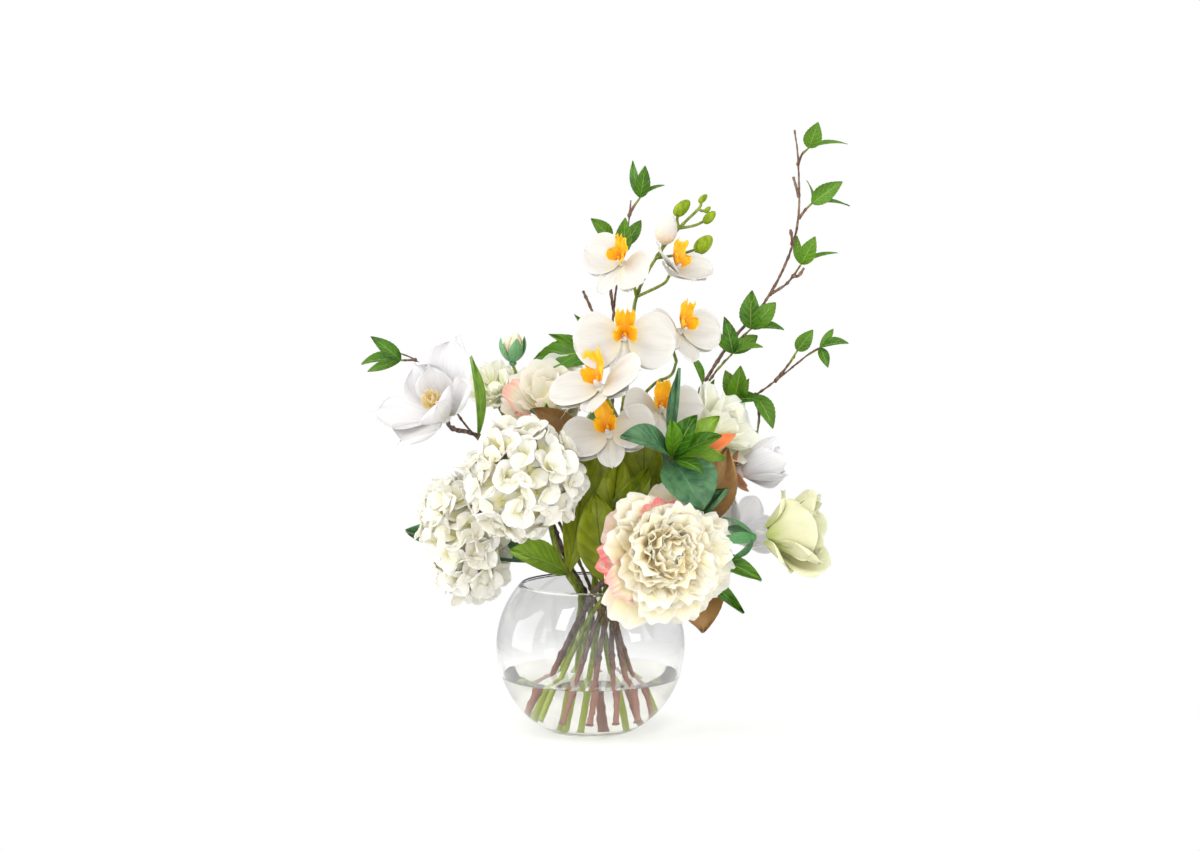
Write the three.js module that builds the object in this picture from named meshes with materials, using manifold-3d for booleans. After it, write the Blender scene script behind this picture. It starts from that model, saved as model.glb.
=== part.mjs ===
// A floral table centerpiece: a glass fish bowl of water that holds hydrangea, peony, magnolia, rose,
// moth orchid and leafy twigs. Millimetres, +Z up, origin at the centre of the bowl's flat base.
// The side that faces -Y is the front.
import * as THREE from "three";
import { mergeVertices } from "three/addons/utils/BufferGeometryUtils.js";
import Module from "manifold-3d";

const wasm = await Module();
wasm.setup();

// Driving dimensions
const bowl = { radius: 100, centreHeight: 90, rimHeight: 158, wall: 3, footRadius: 40, floor: 5, sides: 24 };
const water = { level: 60, gap: 0.3 };
const waist = { x: 8, y: 0, height: 128, outerRing: 23, innerRing: 9 }; // where the stems cross
const foot = { outerRing: 56, innerRing: 30, outerHeight: 21, innerHeight: 12, twist: 34 }; // stems' cut ends
const seatGap = 0.5; // clearance pushed round a piece before its neighbour is cut to it
const sliver = 0.25; // detail below this size is smoothed away after a join
const petalThickness = 1.0;
const leafThickness = 1.0;

const finish = {
  glass: { color: 0xf2f7f6, roughness: 0.03, metalness: 0, transparent: true, opacity: 0.3 },
  water: { color: 0xeef4ec, roughness: 0.02, metalness: 0, transparent: true, opacity: 0.45 },
  hydrangea: { color: 0xf1f1e0, roughness: 0.7, metalness: 0 },
  magnolia: { color: 0xf3f1ee, roughness: 0.55, metalness: 0 },
  peony: { color: 0xf4ecd4, roughness: 0.65, metalness: 0 },
  rose: { color: 0xe4e6bb, roughness: 0.6, metalness: 0 },
  orchid: { color: 0xf3efe6, roughness: 0.55, metalness: 0 },
  lip: { color: 0xf5a90f, roughness: 0.5, metalness: 0 },
  stamen: { color: 0xe9b94c, roughness: 0.7, metalness: 0 },
  twigLeaf: { color: 0x2f7d1c, roughness: 0.5, metalness: 0 },
  oliveLeaf: { color: 0x65740d, roughness: 0.5, metalness: 0 },
  darkLeaf: { color: 0x2c5a3c, roughness: 0.45, metalness: 0 },
  greenStem: { color: 0x6d8a1f, roughness: 0.5, metalness: 0 },
  bark: { color: 0x59453c, roughness: 0.8, metalness: 0 },
};

const radians = THREE.MathUtils.degToRad;
const point = (p) => new THREE.Vector3(...p);
// A repeatable draw from 0 to 1 for a whole number.
const draw = (n) => {
  const s = Math.sin(n * 12.9898 + 4.1414) * 43758.5453;
  return s - Math.floor(s);
};
// The same draw from -1 to 1.
const sway = (n) => 2 * draw(n) - 1;

// ---- joining and cutting ----

// A closed mesh becomes a solid; triangles that merging has collapsed are left out.
function solidOf(geometry) {
  const bare = geometry.index ? geometry.clone() : geometry;
  bare.deleteAttribute("normal");
  bare.deleteAttribute("uv");
  const merged = mergeVertices(bare, 1e-4);
  const kept = [];
  const index = merged.index.array;
  for (let i = 0; i < index.length; i += 3) {
    const [a, b, c] = [index[i], index[i + 1], index[i + 2]];
    if (a !== b && b !== c && a !== c) kept.push(a, b, c);
  }
  const vertProperties = new Float32Array(merged.attributes.position.array);
  return new wasm.Manifold(new wasm.Mesh({ numProp: 3, vertProperties, triVerts: new Uint32Array(kept) }));
}

function geometryOf(solid) {
  const { vertProperties, triVerts, numProp } = solid.getMesh();
  const positions = new Float32Array((vertProperties.length / numProp) * 3);
  for (let i = 0; i < positions.length / 3; i++) {
    for (let k = 0; k < 3; k++) positions[3 * i + k] = vertProperties[numProp * i + k];
  }
  return new THREE.BufferGeometry()
    .setAttribute("position", new THREE.BufferAttribute(positions, 3))
    .setIndex(new THREE.BufferAttribute(new Uint32Array(triVerts), 1));
}

// The pieces fused, without the slivers that joining leaves.
const joined = (solids) => solids.reduce((whole, next) => whole.add(next)).simplify(sliver);

// The solid with every vertex moved out along its normal, to cut a seat with clearance.
function grown(solid, gap = seatGap) {
  const geometry = geometryOf(solid);
  geometry.computeVertexNormals();
  const position = geometry.attributes.position;
  const normal = geometry.attributes.normal;
  for (let i = 0; i < position.count; i++) {
    position.setXYZ(
      i,
      position.getX(i) + gap * normal.getX(i),
      position.getY(i) + gap * normal.getY(i),
      position.getZ(i) + gap * normal.getZ(i),
    );
  }
  return solidOf(geometry).add(solid);
}

function boxesMeet(a, b) {
  const p = a.boundingBox();
  const q = b.boundingBox();
  return [0, 1, 2].every((k) => p.min[k] < q.max[k] + seatGap && q.min[k] < p.max[k] + seatGap);
}

// The largest body, without the loose scraps that a cut leaves.
function largest(solid) {
  return solid.decompose().reduce((best, next) => (next.volume() > best.volume() ? next : best));
}

// ---- shapes ----

// A placement whose +Z is the axis and whose +X is the upward direction square to it.
function facing(at, axis) {
  const z = point(axis).normalize();
  const x = new THREE.Vector3(0, 0, 1).addScaledVector(z, -z.z);
  if (x.lengthSq() < 1e-6) x.set(0, 1, 0);
  x.normalize();
  const y = new THREE.Vector3().crossVectors(z, x);
  return new THREE.Matrix4().makeBasis(x, y, z).setPosition(point(at));
}

// Half the width of a blade at u: a claw at the root, widest where u ** peak is a half, and open-ended
// when end is below 1.
function halfWidth(s, u) {
  const claw = s.claw * (1 - u);
  return (s.width / 2) * (claw + (1 - claw) * Math.sin(Math.PI * s.end * u ** s.peak) ** s.round);
}

// One point of a blade: u runs from root to tip and v from edge to edge. The midline is an arc that leaves
// the root at the angle rise and turns by curl; across, it is an arc of half-angle cup; the tip edge is
// drawn back by arch and cut into lobes; the edge waves.
function bladePoint(s, u, v) {
  const along = u * (1 - s.arch * v * v + s.notch * Math.cos(Math.PI * s.lobes * v + s.phase));
  const angle = s.rise + s.curl * along;
  const curl = Math.abs(s.curl) < 1e-4 ? 1e-4 : s.curl;
  const cup = Math.abs(s.cup) < 1e-4 ? 1e-4 : s.cup;
  const half = halfWidth(s, u) * (1 + s.saw * Math.cos(Math.PI * s.teeth * u));
  const lift =
    (half * (1 - Math.cos(cup * v))) / cup +
    s.wave * s.length * u * u * Math.sin(Math.PI * s.waves * v + s.phase);
  const x = (s.length * (Math.sin(s.rise + curl * along) - Math.sin(s.rise))) / curl;
  const z = (s.length * (Math.cos(s.rise) - Math.cos(s.rise + curl * along))) / curl;
  const place = new THREE.Vector3(
    x - Math.sin(angle) * lift,
    (half * Math.sin(cup * v)) / cup,
    z + Math.cos(angle) * lift,
  );
  const normal = new THREE.Vector3(
    -Math.sin(angle) * Math.cos(cup * v),
    -Math.sin(cup * v),
    Math.cos(angle) * Math.cos(cup * v),
  );
  return { place, normal };
}

const bladeDefaults = {
  length: 50, width: 40, rise: 0, curl: 0, cup: 0, claw: 0.2, peak: 1, round: 1, end: 1,
  arch: 0, notch: 0, lobes: 2, saw: 0, teeth: 8, wave: 0, waves: 2, phase: 0,
  rows: 3, columns: 2, thickness: petalThickness, crowd: 1.3,
};

// A thin closed blade: the face grid, the same grid moved back by the thickness, and a wall round the edge.
function blade(choice, matrix) {
  const s = { ...bladeDefaults, ...choice };
  const places = [];
  const sheet = [[], []];
  for (let side = 0; side < 2; side++) {
    for (let i = 0; i <= s.rows; i++) {
      const u = 1 - (1 - i / s.rows) ** s.crowd;
      const closed = halfWidth(s, u) < 0.01;
      for (let j = 0; j <= s.columns; j++) {
        if (closed && j) {
          sheet[side].push(places.length - 1);
          continue;
        }
        const { place, normal } = bladePoint(s, u, closed ? 0 : (2 * j) / s.columns - 1);
        place.addScaledVector(normal, side ? -s.thickness / 2 : s.thickness / 2);
        sheet[side].push(places.length);
        places.push(place.applyMatrix4(matrix));
      }
    }
  }
  const index = [];
  const triangle = (a, b, c) => {
    if (a !== b && b !== c && a !== c) index.push(a, b, c);
  };
  const at = (side, i, j) => sheet[side][i * (s.columns + 1) + j];
  for (let i = 0; i < s.rows; i++) {
    for (let j = 0; j < s.columns; j++) {
      triangle(at(0, i, j), at(0, i + 1, j), at(0, i + 1, j + 1));
      triangle(at(0, i, j), at(0, i + 1, j + 1), at(0, i, j + 1));
      triangle(at(1, i, j), at(1, i + 1, j + 1), at(1, i + 1, j));
      triangle(at(1, i, j), at(1, i, j + 1), at(1, i + 1, j + 1));
    }
  }
  const edge = [];
  for (let j = 0; j <= s.columns; j++) edge.push([0, j]);
  for (let i = 1; i <= s.rows; i++) edge.push([i, s.columns]);
  for (let j = s.columns - 1; j >= 0; j--) edge.push([s.rows, j]);
  for (let i = s.rows - 1; i >= 1; i--) edge.push([i, 0]);
  edge.forEach(([i, j], n) => {
    const [k, l] = edge[(n + 1) % edge.length];
    triangle(at(0, i, j), at(0, k, l), at(1, k, l));
    triangle(at(0, i, j), at(1, k, l), at(1, i, j));
  });
  const positions = new Float32Array(places.flatMap((p) => p.toArray()));
  return solidOf(
    new THREE.BufferGeometry()
      .setAttribute("position", new THREE.BufferAttribute(positions, 3))
      .setIndex(index),
  );
}

// A petal in a bloom: rolled about its own midline so that each one's edge lies over the next, set out
// from the bloom's axis and turned to its azimuth.
function petal(bloom, azimuth, out, up, shape, roll = 0) {
  const matrix = bloom.clone();
  matrix.multiply(new THREE.Matrix4().makeRotationZ(radians(azimuth)));
  matrix.multiply(new THREE.Matrix4().makeTranslation(out, 0, up));
  matrix.multiply(new THREE.Matrix4().makeRotationY(-shape.rise || 0));
  matrix.multiply(new THREE.Matrix4().makeRotationX(radians(roll)));
  return blade({ ...shape, rise: 0 }, matrix);
}

// A leaf from its base to its tip, with its upper face towards look; bend is how far its midrib arches.
function leaf({ base, tip, look, width, bend = 0.6, ...rest }) {
  const x = point(tip).sub(point(base));
  const chord = x.length();
  x.normalize();
  const z = point(look).addScaledVector(x, -point(look).dot(x)).normalize();
  const y = new THREE.Vector3().crossVectors(z, x);
  const matrix = new THREE.Matrix4().makeBasis(x, y, z).setPosition(point(base));
  const length = (chord * (bend / 2)) / Math.sin(bend / 2);
  const shape = { length, width, rise: bend / 2, curl: -bend, cup: 0.35, claw: 0.1, peak: 1.15, round: 1.3 };
  return blade({ ...shape, thickness: leafThickness, crowd: 1, saw: 0.05, rows: 3, ...rest }, matrix);
}

// A round stem along a smooth curve through the points, its radius running from one value to another.
function tube(points, from, to, sides = 6, steps = 3 * (points.length - 1)) {
  const curve = new THREE.CatmullRomCurve3(points.map(point), false, "catmullrom", 0.5);
  const lengths = curve.getLengths(steps * 4);
  const whole = lengths[lengths.length - 1];
  const rings = [];
  let side = new THREE.Vector3(0.3, 1, 0.1);
  for (let i = 0; i <= steps; i++) {
    const along = curve.getTangent(i / steps);
    side = side.clone().addScaledVector(along, -side.dot(along)).normalize();
    const other = new THREE.Vector3().crossVectors(along, side);
    const radius = from + ((to - from) * lengths[i * 4]) / whole;
    const centre = curve.getPoint(i / steps);
    for (let k = 0; k < sides; k++) {
      const a = (2 * Math.PI * k) / sides;
      const out = side.clone().multiplyScalar(Math.cos(a)).addScaledVector(other, Math.sin(a));
      rings.push(centre.clone().addScaledVector(out, radius));
    }
  }
  const index = [];
  for (let i = 0; i < steps; i++) {
    for (let k = 0; k < sides; k++) {
      const [a, b] = [i * sides + k, i * sides + ((k + 1) % sides)];
      index.push(a, b, b + sides, a, b + sides, a + sides);
    }
  }
  const last = steps * sides;
  for (let k = 1; k < sides - 1; k++) {
    index.push(0, k + 1, k);
    index.push(last, last + k, last + k + 1);
  }
  const positions = new Float32Array(rings.flatMap((p) => p.toArray()));
  return solidOf(
    new THREE.BufferGeometry()
      .setAttribute("position", new THREE.BufferAttribute(positions, 3))
      .setIndex(index),
  );
}

// An egg or ball: radius across, and its own half-length along the placement's axis.
function egg(matrix, across, along, up = 0, around = 10, down = 6) {
  const geometry = new THREE.SphereGeometry(across, around, down);
  geometry.rotateX(Math.PI / 2).scale(1, 1, along / across).translate(0, 0, up);
  return solidOf(geometry.applyMatrix4(matrix));
}

// ---- stems ----

// Where a stem stands: its cut end near the bowl's floor and its place in the crossing.
// Each passes the crossing a twist further round than its foot, so that no two meet.
function rooted(slot, ring = "outerRing") {
  const inner = ring === "innerRing";
  const a = radians(slot);
  const f = radians(slot - foot.twist);
  const height = inner ? foot.innerHeight : foot.outerHeight;
  return [
    [foot[ring] * Math.cos(f), foot[ring] * Math.sin(f), height],
    [waist.x + waist[ring] * Math.cos(a), waist.y + waist[ring] * Math.sin(a), waist.height],
  ];
}

// Each stem's slot in the crossing, the points that it bends through above it and its radii. A stem that
// carries a bloom goes on along the bloom's axis to just under its core.
const stems = {
  hydrangea_front: { slot: 175, path: [[-24, -22, 170], [-36, -34, 200]], from: 4.2, to: 3.4 },
  hydrangea_side: { slot: 147, path: [[-18, 14, 160], [-40, 14, 182], [-66, 6, 205]], from: 4.2, to: 3.4 },
  magnolia_left: { slot: 120, path: [[-26, 30, 178], [-58, 30, 250], [-112, 10, 308]], from: 4.2, to: 2.8 },
  twig_left: {
    slot: 92, from: 3, to: 1,
    path: [
      [-26, 46, 200], [-62, 44, 256], [-124, 26, 312], [-160, 26, 362], [-186, 24, 392], [-217, 22, 403],
    ],
  },
  peony_left: { slot: 62, path: [[-12, 54, 190], [-46, 84, 250], [-82, 102, 305]], from: 3.4, to: 2.8 },
  twig_centre: {
    slot: 25, from: 3.2, to: 1,
    path: [[36, 32, 210], [26, 38, 300], [22, 36, 400], [28, 40, 473], [38, 48, 518], [43, 53, 561]],
  },
  twig_right: {
    slot: -1, from: 4, to: 1.1,
    path: [
      [62, 30, 200], [92, 54, 285], [112, 58, 345], [147, 56, 405], [186, 58, 451], [212, 62, 500],
      [223, 64, 545], [222, 64, 605], [218, 64, 636],
    ],
  },
  peony_right: { slot: 333, path: [[60, 8, 190], [88, 24, 256]], from: 3.6, to: 3 },
  magnolia_right: { slot: 307, path: [[62, -8, 178], [100, 0, 232]], from: 3.8, to: 2.8 },
  magnolia_low: { slot: 280, path: [[46, -20, 158], [92, -18, 180]], from: 3.6, to: 2.6 },
  rose: { slot: 252, path: [[38, -38, 160], [92, -52, 190]], from: 3.6, to: 2.6 },
  peony_front: { slot: 215, path: [[14, -40, 164]], from: 4.2, to: 3.6 },
  peony_back: { slot: 170, ring: "innerRing", path: [[4, 22, 200], [-14, 50, 262]], from: 3.4, to: 2.8 },
  orchid_high: {
    slot: 290, ring: "innerRing", from: 3.2, to: 1.4,
    path: [
      [30, -12, 220], [32, -6, 320], [42, -10, 410], [48, -14, 460], [68, -15, 500], [92, -15, 531],
      [112, -15, 551], [115, -15, 558],
    ],
  },
  orchid_low: {
    slot: 50, ring: "innerRing", from: 3, to: 1.5,
    path: [[40, 4, 220], [46, 4, 300], [50, -2, 345], [66, -8, 368], [84, -10, 378], [90, -8, 392]],
  },
};
const stemClearance = 0.5; // between a stem's end and the core above it
const calyxHeight = 4; // what a calyx takes up between them
const bloomNeck = 16; // how far a stem runs straight under its bloom

// The last two points of a stem, on the axis of the bloom or head that it carries.
function stemEnd(name) {
  if (hydrangeas[name]) {
    const { at, along, stem } = hydrangeas[name];
    const down = point(stem).normalize();
    const reach = along - floret.coreInset - 2;
    return [point(at).addScaledVector(down, reach).toArray()];
  }
  const bloom = name === "magnolia_left" ? openMagnolia : blooms[name];
  if (!bloom) return [];
  const [, along, middle] = bloom.core;
  const out = point(bloom.axis).normalize();
  const under = middle - along - (calyx[name] ? calyxHeight : stemClearance);
  return [under - bloomNeck, under].map((d) => point(bloom.at).addScaledVector(out, d).toArray());
}

function stemTube(name, sides = 5) {
  const { slot, ring, path, from, to } = stems[name];
  const points = [...rooted(slot, ring), ...path, ...stemEnd(name)];
  return tube(points, from, to, sides, (points.length > 7 ? 1 : 2) * (points.length - 1));
}

// ---- the bowl and its water ----

// Radius of the ball-shaped bowl at a height, for a wall set in by inset.
const bowlRadius = (height, inset = 0) =>
  Math.sqrt((bowl.radius - inset) ** 2 - (height - bowl.centreHeight) ** 2);

function makeBowl() {
  const outside = [[0, 0], [bowl.footRadius, 0]];
  const heights = [6, 24, 55, 90, 125];
  heights.forEach((h) => outside.push([bowlRadius(h), h]));
  outside.push([bowlRadius(bowl.rimHeight), bowl.rimHeight]);
  const inside = [[bowlRadius(bowl.rimHeight, bowl.wall) + 0.4, bowl.rimHeight]];
  [...heights].reverse().forEach((h) => {
    if (h > 9) inside.push([bowlRadius(h, bowl.wall), h]);
  });
  inside.push([bowlRadius(9, bowl.wall), 9], [0, bowl.floor]);
  const profile = [...outside, ...inside].map(([r, z]) => new THREE.Vector2(r, z));
  return solidOf(new THREE.LatheGeometry(profile, bowl.sides).rotateX(Math.PI / 2));
}

function makeWater(roots) {
  const inset = bowl.wall + water.gap + 0.5;
  const profile = [[0, bowl.floor + water.gap + 0.3], [bowlRadius(10, inset) - 1, 9.8]];
  [24, water.level].forEach((h) => profile.push([bowlRadius(h, inset + (h > 30 ? 1.5 : 0)), h]));
  profile.push([0, water.level]);
  const outline = profile.map(([r, z]) => new THREE.Vector2(r, z));
  const body = solidOf(new THREE.LatheGeometry(outline, bowl.sides).rotateX(Math.PI / 2));
  return roots.reduce((whole, root) => whole.subtract(grown(root)), body);
}

// ---- blooms ----

// A hydrangea head: florets of four petals stand out of a smaller core, spread evenly by the golden angle.
// Each floret is a shallow cup with four lobes, its root sunk in the core.
const hydrangeas = {
  hydrangea_front: {
    at: [-67, -86, 277], axis: [-0.35, -0.72, 0.6], stem: [0.5, 0.55, -0.67],
    across: 61, along: 58, florets: 18, seed: 10,
  },
  hydrangea_side: {
    at: [-134, -5, 206], axis: [-0.96, -0.2, -0.15], stem: [1, 0.1, -0.02],
    across: 69, along: 50, florets: 20, seed: 50,
  },
};
const floret = { reach: 22, dish: 5, notch: 0.52, sink: 22, coreInset: 13, bareRound: 0.9 };

function makeHydrangea({ at, axis, stem, across, along, florets, seed }) {
  const matrix = facing(at, axis);
  const down = point(stem).normalize();
  const parts = [egg(matrix, across - floret.coreInset, along - floret.coreInset, 0, 8, 5)];
  for (let n = 0; n < florets; n++) {
    const z = 1 - (2 * (n + 0.5)) / florets;
    const turn = n * Math.PI * (3 - Math.sqrt(5));
    const r = Math.sqrt(1 - z * z);
    const on = new THREE.Vector3(r * Math.cos(turn) * across, r * Math.sin(turn) * across, z * along);
    if (on.clone().applyMatrix4(matrix).sub(point(at)).normalize().dot(down) > floret.bareRound) continue;
    const out = new THREE.Vector3(on.x / across ** 2, on.y / across ** 2, on.z / along ** 2).normalize();
    const side = new THREE.Vector3(0, 0, 1).cross(out).normalize();
    const other = new THREE.Vector3().crossVectors(out, side);
    const spin = draw(seed + n) * Math.PI;
    const tilt = 3 * sway(seed + n + 100);
    const rim = [];
    for (let k = 0; k < 8; k++) {
      const a = spin + (k * Math.PI) / 4;
      const reach = floret.reach * (k % 2 ? floret.notch : 1);
      const lift = k % 2 ? -floret.dish * 0.6 : tilt * Math.cos(a);
      rim.push(
        on.clone()
          .addScaledVector(side, reach * Math.cos(a))
          .addScaledVector(other, reach * Math.sin(a))
          .addScaledVector(out, lift - 1),
      );
    }
    const heart = on.clone().addScaledVector(out, -floret.dish);
    const root = on.clone().addScaledVector(out, -floret.sink);
    const places = [...rim, heart, root].map((p) => p.applyMatrix4(matrix));
    const index = [];
    for (let k = 0; k < 8; k++) index.push(k, (k + 1) % 8, 8, (k + 1) % 8, k, 9);
    const positions = new Float32Array(places.flatMap((p) => p.toArray()));
    parts.push(
      solidOf(
        new THREE.BufferGeometry()
          .setAttribute("position", new THREE.BufferAttribute(positions, 3))
          .setIndex(index),
      ),
    );
  }
  return joined(parts);
}

// Rings of petals round a core: each ring gives its count, first azimuth, height on the core, size, rise,
// curl and cup. The core gives its half-width, its half-length and the height of its middle.
const fanPetal = {
  claw: 0.08, peak: 1.1, round: 0.8, end: 0.7, arch: 0.22, notch: 0.05, lobes: 3,
  rows: 2, columns: 2, crowd: 1,
};
const innerPetal = { ...fanPetal, arch: 0.2 };
const cupPetal = { claw: 0.08, peak: 1.6, round: 0.62, rows: 3, columns: 2 };
const roseCup = { ...cupPetal, peak: 2 };
const blooms = {
  peony_front: {
    at: [68, -82, 197], axis: [0.3, -0.93, 0.16], finish: "peony", core: [19, 24, 16], seed: 3,
    rings: [
      { count: 7, start: 10, up: 4, length: 72, width: 68, rise: 5, curl: 44, cup: 0.4, shape: fanPetal },
      { count: 5, start: 30, up: 13, length: 60, width: 50, rise: 36, curl: 28, cup: 0.4, shape: innerPetal },
      { count: 4, start: 5, up: 22, length: 42, width: 40, rise: 60, curl: 12, cup: 0.5, shape: innerPetal },
      { count: 3, start: 25, up: 31, length: 32, width: 30, rise: 74, curl: 0, cup: 0.5, shape: innerPetal },
    ],
  },
  peony_back: {
    at: [-38, 48, 332], axis: [-0.28, -0.72, 0.62], finish: "peony", core: [13, 17, 11], seed: 21,
    rings: [
      { count: 5, start: 0, up: 4, length: 52, width: 58, rise: 12, curl: 54, cup: 0.5, shape: innerPetal },
      { count: 3, start: 28, up: 11, length: 40, width: 46, rise: 48, curl: 24, cup: 0.5, shape: innerPetal },
      { count: 2, start: 10, up: 19, length: 28, width: 28, rise: 70, curl: 6, cup: 0.5, shape: innerPetal },
    ],
  },
  peony_right: {
    at: [121, 34, 306], axis: [0.72, -0.16, 0.68], finish: "peony", core: [13, 16, 10], seed: 33,
    rings: [
      { count: 5, start: 12, up: 4, length: 50, width: 50, rise: 26, curl: 42, cup: 0.5, shape: innerPetal },
      { count: 3, start: 40, up: 12, length: 40, width: 42, rise: 58, curl: 14, cup: 0.5, shape: innerPetal },
    ],
  },
  peony_left: {
    at: [-102, 88, 348], axis: [-0.12, -0.72, 0.68], finish: "peony", core: [11, 14, 9], seed: 41,
    rings: [
      { count: 5, start: 20, up: 4, length: 34, width: 38, rise: 24, curl: 44, cup: 0.4, shape: innerPetal },
      { count: 2, start: 0, up: 10, length: 28, width: 28, rise: 56, curl: 20, cup: 0.5, shape: innerPetal },
    ],
  },
  rose: {
    at: [177, -65, 216], axis: [0.96, -0.2, 0.14], finish: "rose", core: [16, 24, 18], seed: 55,
    rings: [
      { count: 4, start: 15, up: 3, length: 64, width: 62, rise: 54, curl: 10, cup: 0.6, shape: roseCup },
      { count: 3, start: 50, up: 14, length: 52, width: 50, rise: 70, curl: 6, cup: 0.7, shape: roseCup },
      { count: 2, start: 10, up: 26, length: 38, width: 34, rise: 80, curl: 4, cup: 0.8, shape: roseCup },
    ],
  },
  magnolia_right: {
    at: [154, 4, 274], axis: [0.95, -0.06, 0.28], finish: "magnolia", core: [8, 12, 8], seed: 61,
    rings: [
      { count: 4, start: 20, up: 3, length: 54, width: 44, rise: 50, curl: 26, cup: 0.6, shape: cupPetal },
      { count: 2, start: 60, up: 9, length: 44, width: 38, rise: 68, curl: 14, cup: 0.7, shape: cupPetal },
    ],
  },
  magnolia_low: {
    at: [150, 11, 206], axis: [0.62, -0.42, 0.66], finish: "magnolia", core: [8, 12, 8], seed: 71,
    rings: [
      { count: 4, start: 0, up: 3, length: 46, width: 42, rise: 16, curl: 32, cup: 0.5, shape: cupPetal },
      { count: 2, start: 45, up: 9, length: 38, width: 36, rise: 46, curl: 20, cup: 0.6, shape: cupPetal },
    ],
  },
};
const imbrication = 10; // degrees that each petal is rolled, so that its edge lies over the next
const rootDepth = 2.5; // how far a petal's root is sunk into the core

function makeBloom({ at, axis, core, rings, seed }) {
  const matrix = facing(at, axis);
  const [across, along, middle] = core;
  const parts = [egg(matrix, across, along, middle, 7, 5)];
  rings.forEach((ring, r) => {
    const out = 0.92 * across * Math.sqrt(1 - ((ring.up - middle) / along) ** 2) - rootDepth;
    for (let i = 0; i < ring.count; i++) {
      const n = seed + 20 * r + i;
      const azimuth = ring.start + (360 * i) / ring.count + 4 * sway(n);
      const shape = {
        ...ring.shape,
        length: ring.length * (1 + 0.06 * sway(n + 200)),
        width: ring.width,
        rise: radians(ring.rise + 2.5 * sway(n + 300)),
        curl: radians(ring.curl),
        cup: ring.cup,
        phase: 3 * draw(n + 400),
      };
      parts.push(petal(matrix, azimuth, out, ring.up, shape, imbrication));
    }
  });
  return joined(parts);
}

// The open magnolia: each tepal is set by its clock azimuth, length, width, rise, curl and cup.
const openMagnolia = {
  at: [-151, -17, 333], axis: [-0.34, -0.72, 0.6],
  tepals: [
    [-16, 84, 52, 30, 14, 0.55], [38, 62, 46, 44, 12, 0.6], [8, 56, 40, 62, 4, 0.6],
    [102, 70, 48, 16, 22, 0.7], [160, 72, 50, 20, 26, 0.6], [232, 62, 44, 44, 16, 0.7],
    [290, 66, 42, 26, 20, 0.8],
  ],
  tepalOut: 6, tepalUp: 6, tepalRoll: 8,
  core: [9, 12, 9],
  cone: [5, 10, 26], stamens: 8,
};

function makeOpenMagnolia() {
  const { at, axis, tepals, tepalOut, tepalUp, tepalRoll, core } = openMagnolia;
  const matrix = facing(at, axis);
  const parts = [egg(matrix, core[0], core[1], core[2], 7, 5)];
  tepals.forEach(([azimuth, length, width, rise, curl, cup]) => {
    const shape = { ...cupPetal, length, width, rise: radians(rise), curl: radians(curl), cup };
    parts.push(petal(matrix, azimuth, tepalOut, tepalUp, shape, tepalRoll));
  });
  return joined(parts);
}

// The cone of the open magnolia with its ring of stamens.
const stamenShape = { length: 11, width: 2, claw: 0.8, rows: 1, columns: 1, thickness: 1, end: 0.7 };

function makeStamens() {
  const matrix = facing(openMagnolia.at, openMagnolia.axis);
  const [across, along, up] = openMagnolia.cone;
  const parts = [egg(matrix, across, along, up, 5, 3)];
  for (let i = 0; i < openMagnolia.stamens; i++) {
    const azimuth = (360 * i) / openMagnolia.stamens + 8 * sway(i);
    const shape = { ...stamenShape, rise: radians(38 + 18 * sway(i + 30)) };
    parts.push(petal(matrix, azimuth, 3, up - 4 + 5 * draw(i + 60), shape));
  }
  return joined(parts);
}

// Moth orchid blooms: place, facing, clock angle of the lip, size, and how far the tepals have opened.
const orchids = [
  { at: [32, -56, 412], axis: [0.02, -0.98, 0.12], lip: 0, size: 1, open: 1 },
  { at: [34, -44, 494], axis: [-0.3, -0.85, 0.42], lip: -22, size: 0.86, open: 0.85 },
  { at: [84, -40, 484], axis: [0.58, -0.5, 0.64], lip: -20, size: 0.82, open: 0.7 },
  { at: [76, -27, 522], axis: [0.3, -0.42, 0.85], lip: 160, size: 0.72, open: 0.25 },
  { at: [93, -22, 420], axis: [0.36, -0.84, 0.4], lip: -4, size: 0.84, open: 0.9 },
  { at: [13, -74, 364], axis: [-0.05, -0.85, 0.52], lip: 12, size: 0.92, open: 0.9 },
  { at: [21, -48, 313], axis: [-0.12, -0.84, 0.52], lip: 14, size: 0.95, open: 0.9 },
  { at: [69, -20, 338], axis: [0.3, -0.84, 0.44], lip: 0, size: 0.86, open: 0.8 },
];
const orchidCore = { across: 5, along: 6 };
const tepalShape = { claw: 0.08, peak: 1.2, round: 0.5, rows: 3, columns: 2, thickness: petalThickness };
// Azimuth from the lip, length, width and distance behind the front of each of the five tepals.
const orchidTepals = [
  [92, 48, 50, 1.5], [-92, 48, 50, 1.5], [180, 46, 30, -1], [132, 44, 28, -2.5], [-132, 44, 28, -2.5],
];

function makeOrchid({ at, axis, lip, size, open }) {
  const matrix = facing(at, axis);
  const parts = [egg(matrix, orchidCore.across * size, orchidCore.along * size, 0, 5, 3)];
  orchidTepals.slice(0, open < 0.5 ? 3 : 5).forEach(([azimuth, length, width, up]) => {
    const rise = radians(78 - 70 * open);
    const shape = {
      ...tepalShape,
      length: length * size,
      width: width * size * (0.6 + 0.4 * open ** 0.5),
      rise,
      curl: radians(-6 + 20 * (1 - open)),
      cup: 0.3 + 0.4 * (1 - open),
      columns: width > 40 ? 2 : 1,
      rows: width > 40 ? 3 : 2,
    };
    parts.push(petal(matrix, lip + azimuth, 3.5 * size, up, shape, 10 * (1 - open)));
  });
  return joined(parts);
}

// The lip: two upright side lobes, a middle lobe that bends forward, and the column under them. Each lobe
// gives its azimuth from the lip, length, width, rise and cup.
const lipLobes = [[78, 16, 15, 56, 0.6], [-78, 16, 15, 56, 0.6], [0, 24, 18, 34, 0.5]];
const lipHeight = 9; // above the bloom's centre

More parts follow.
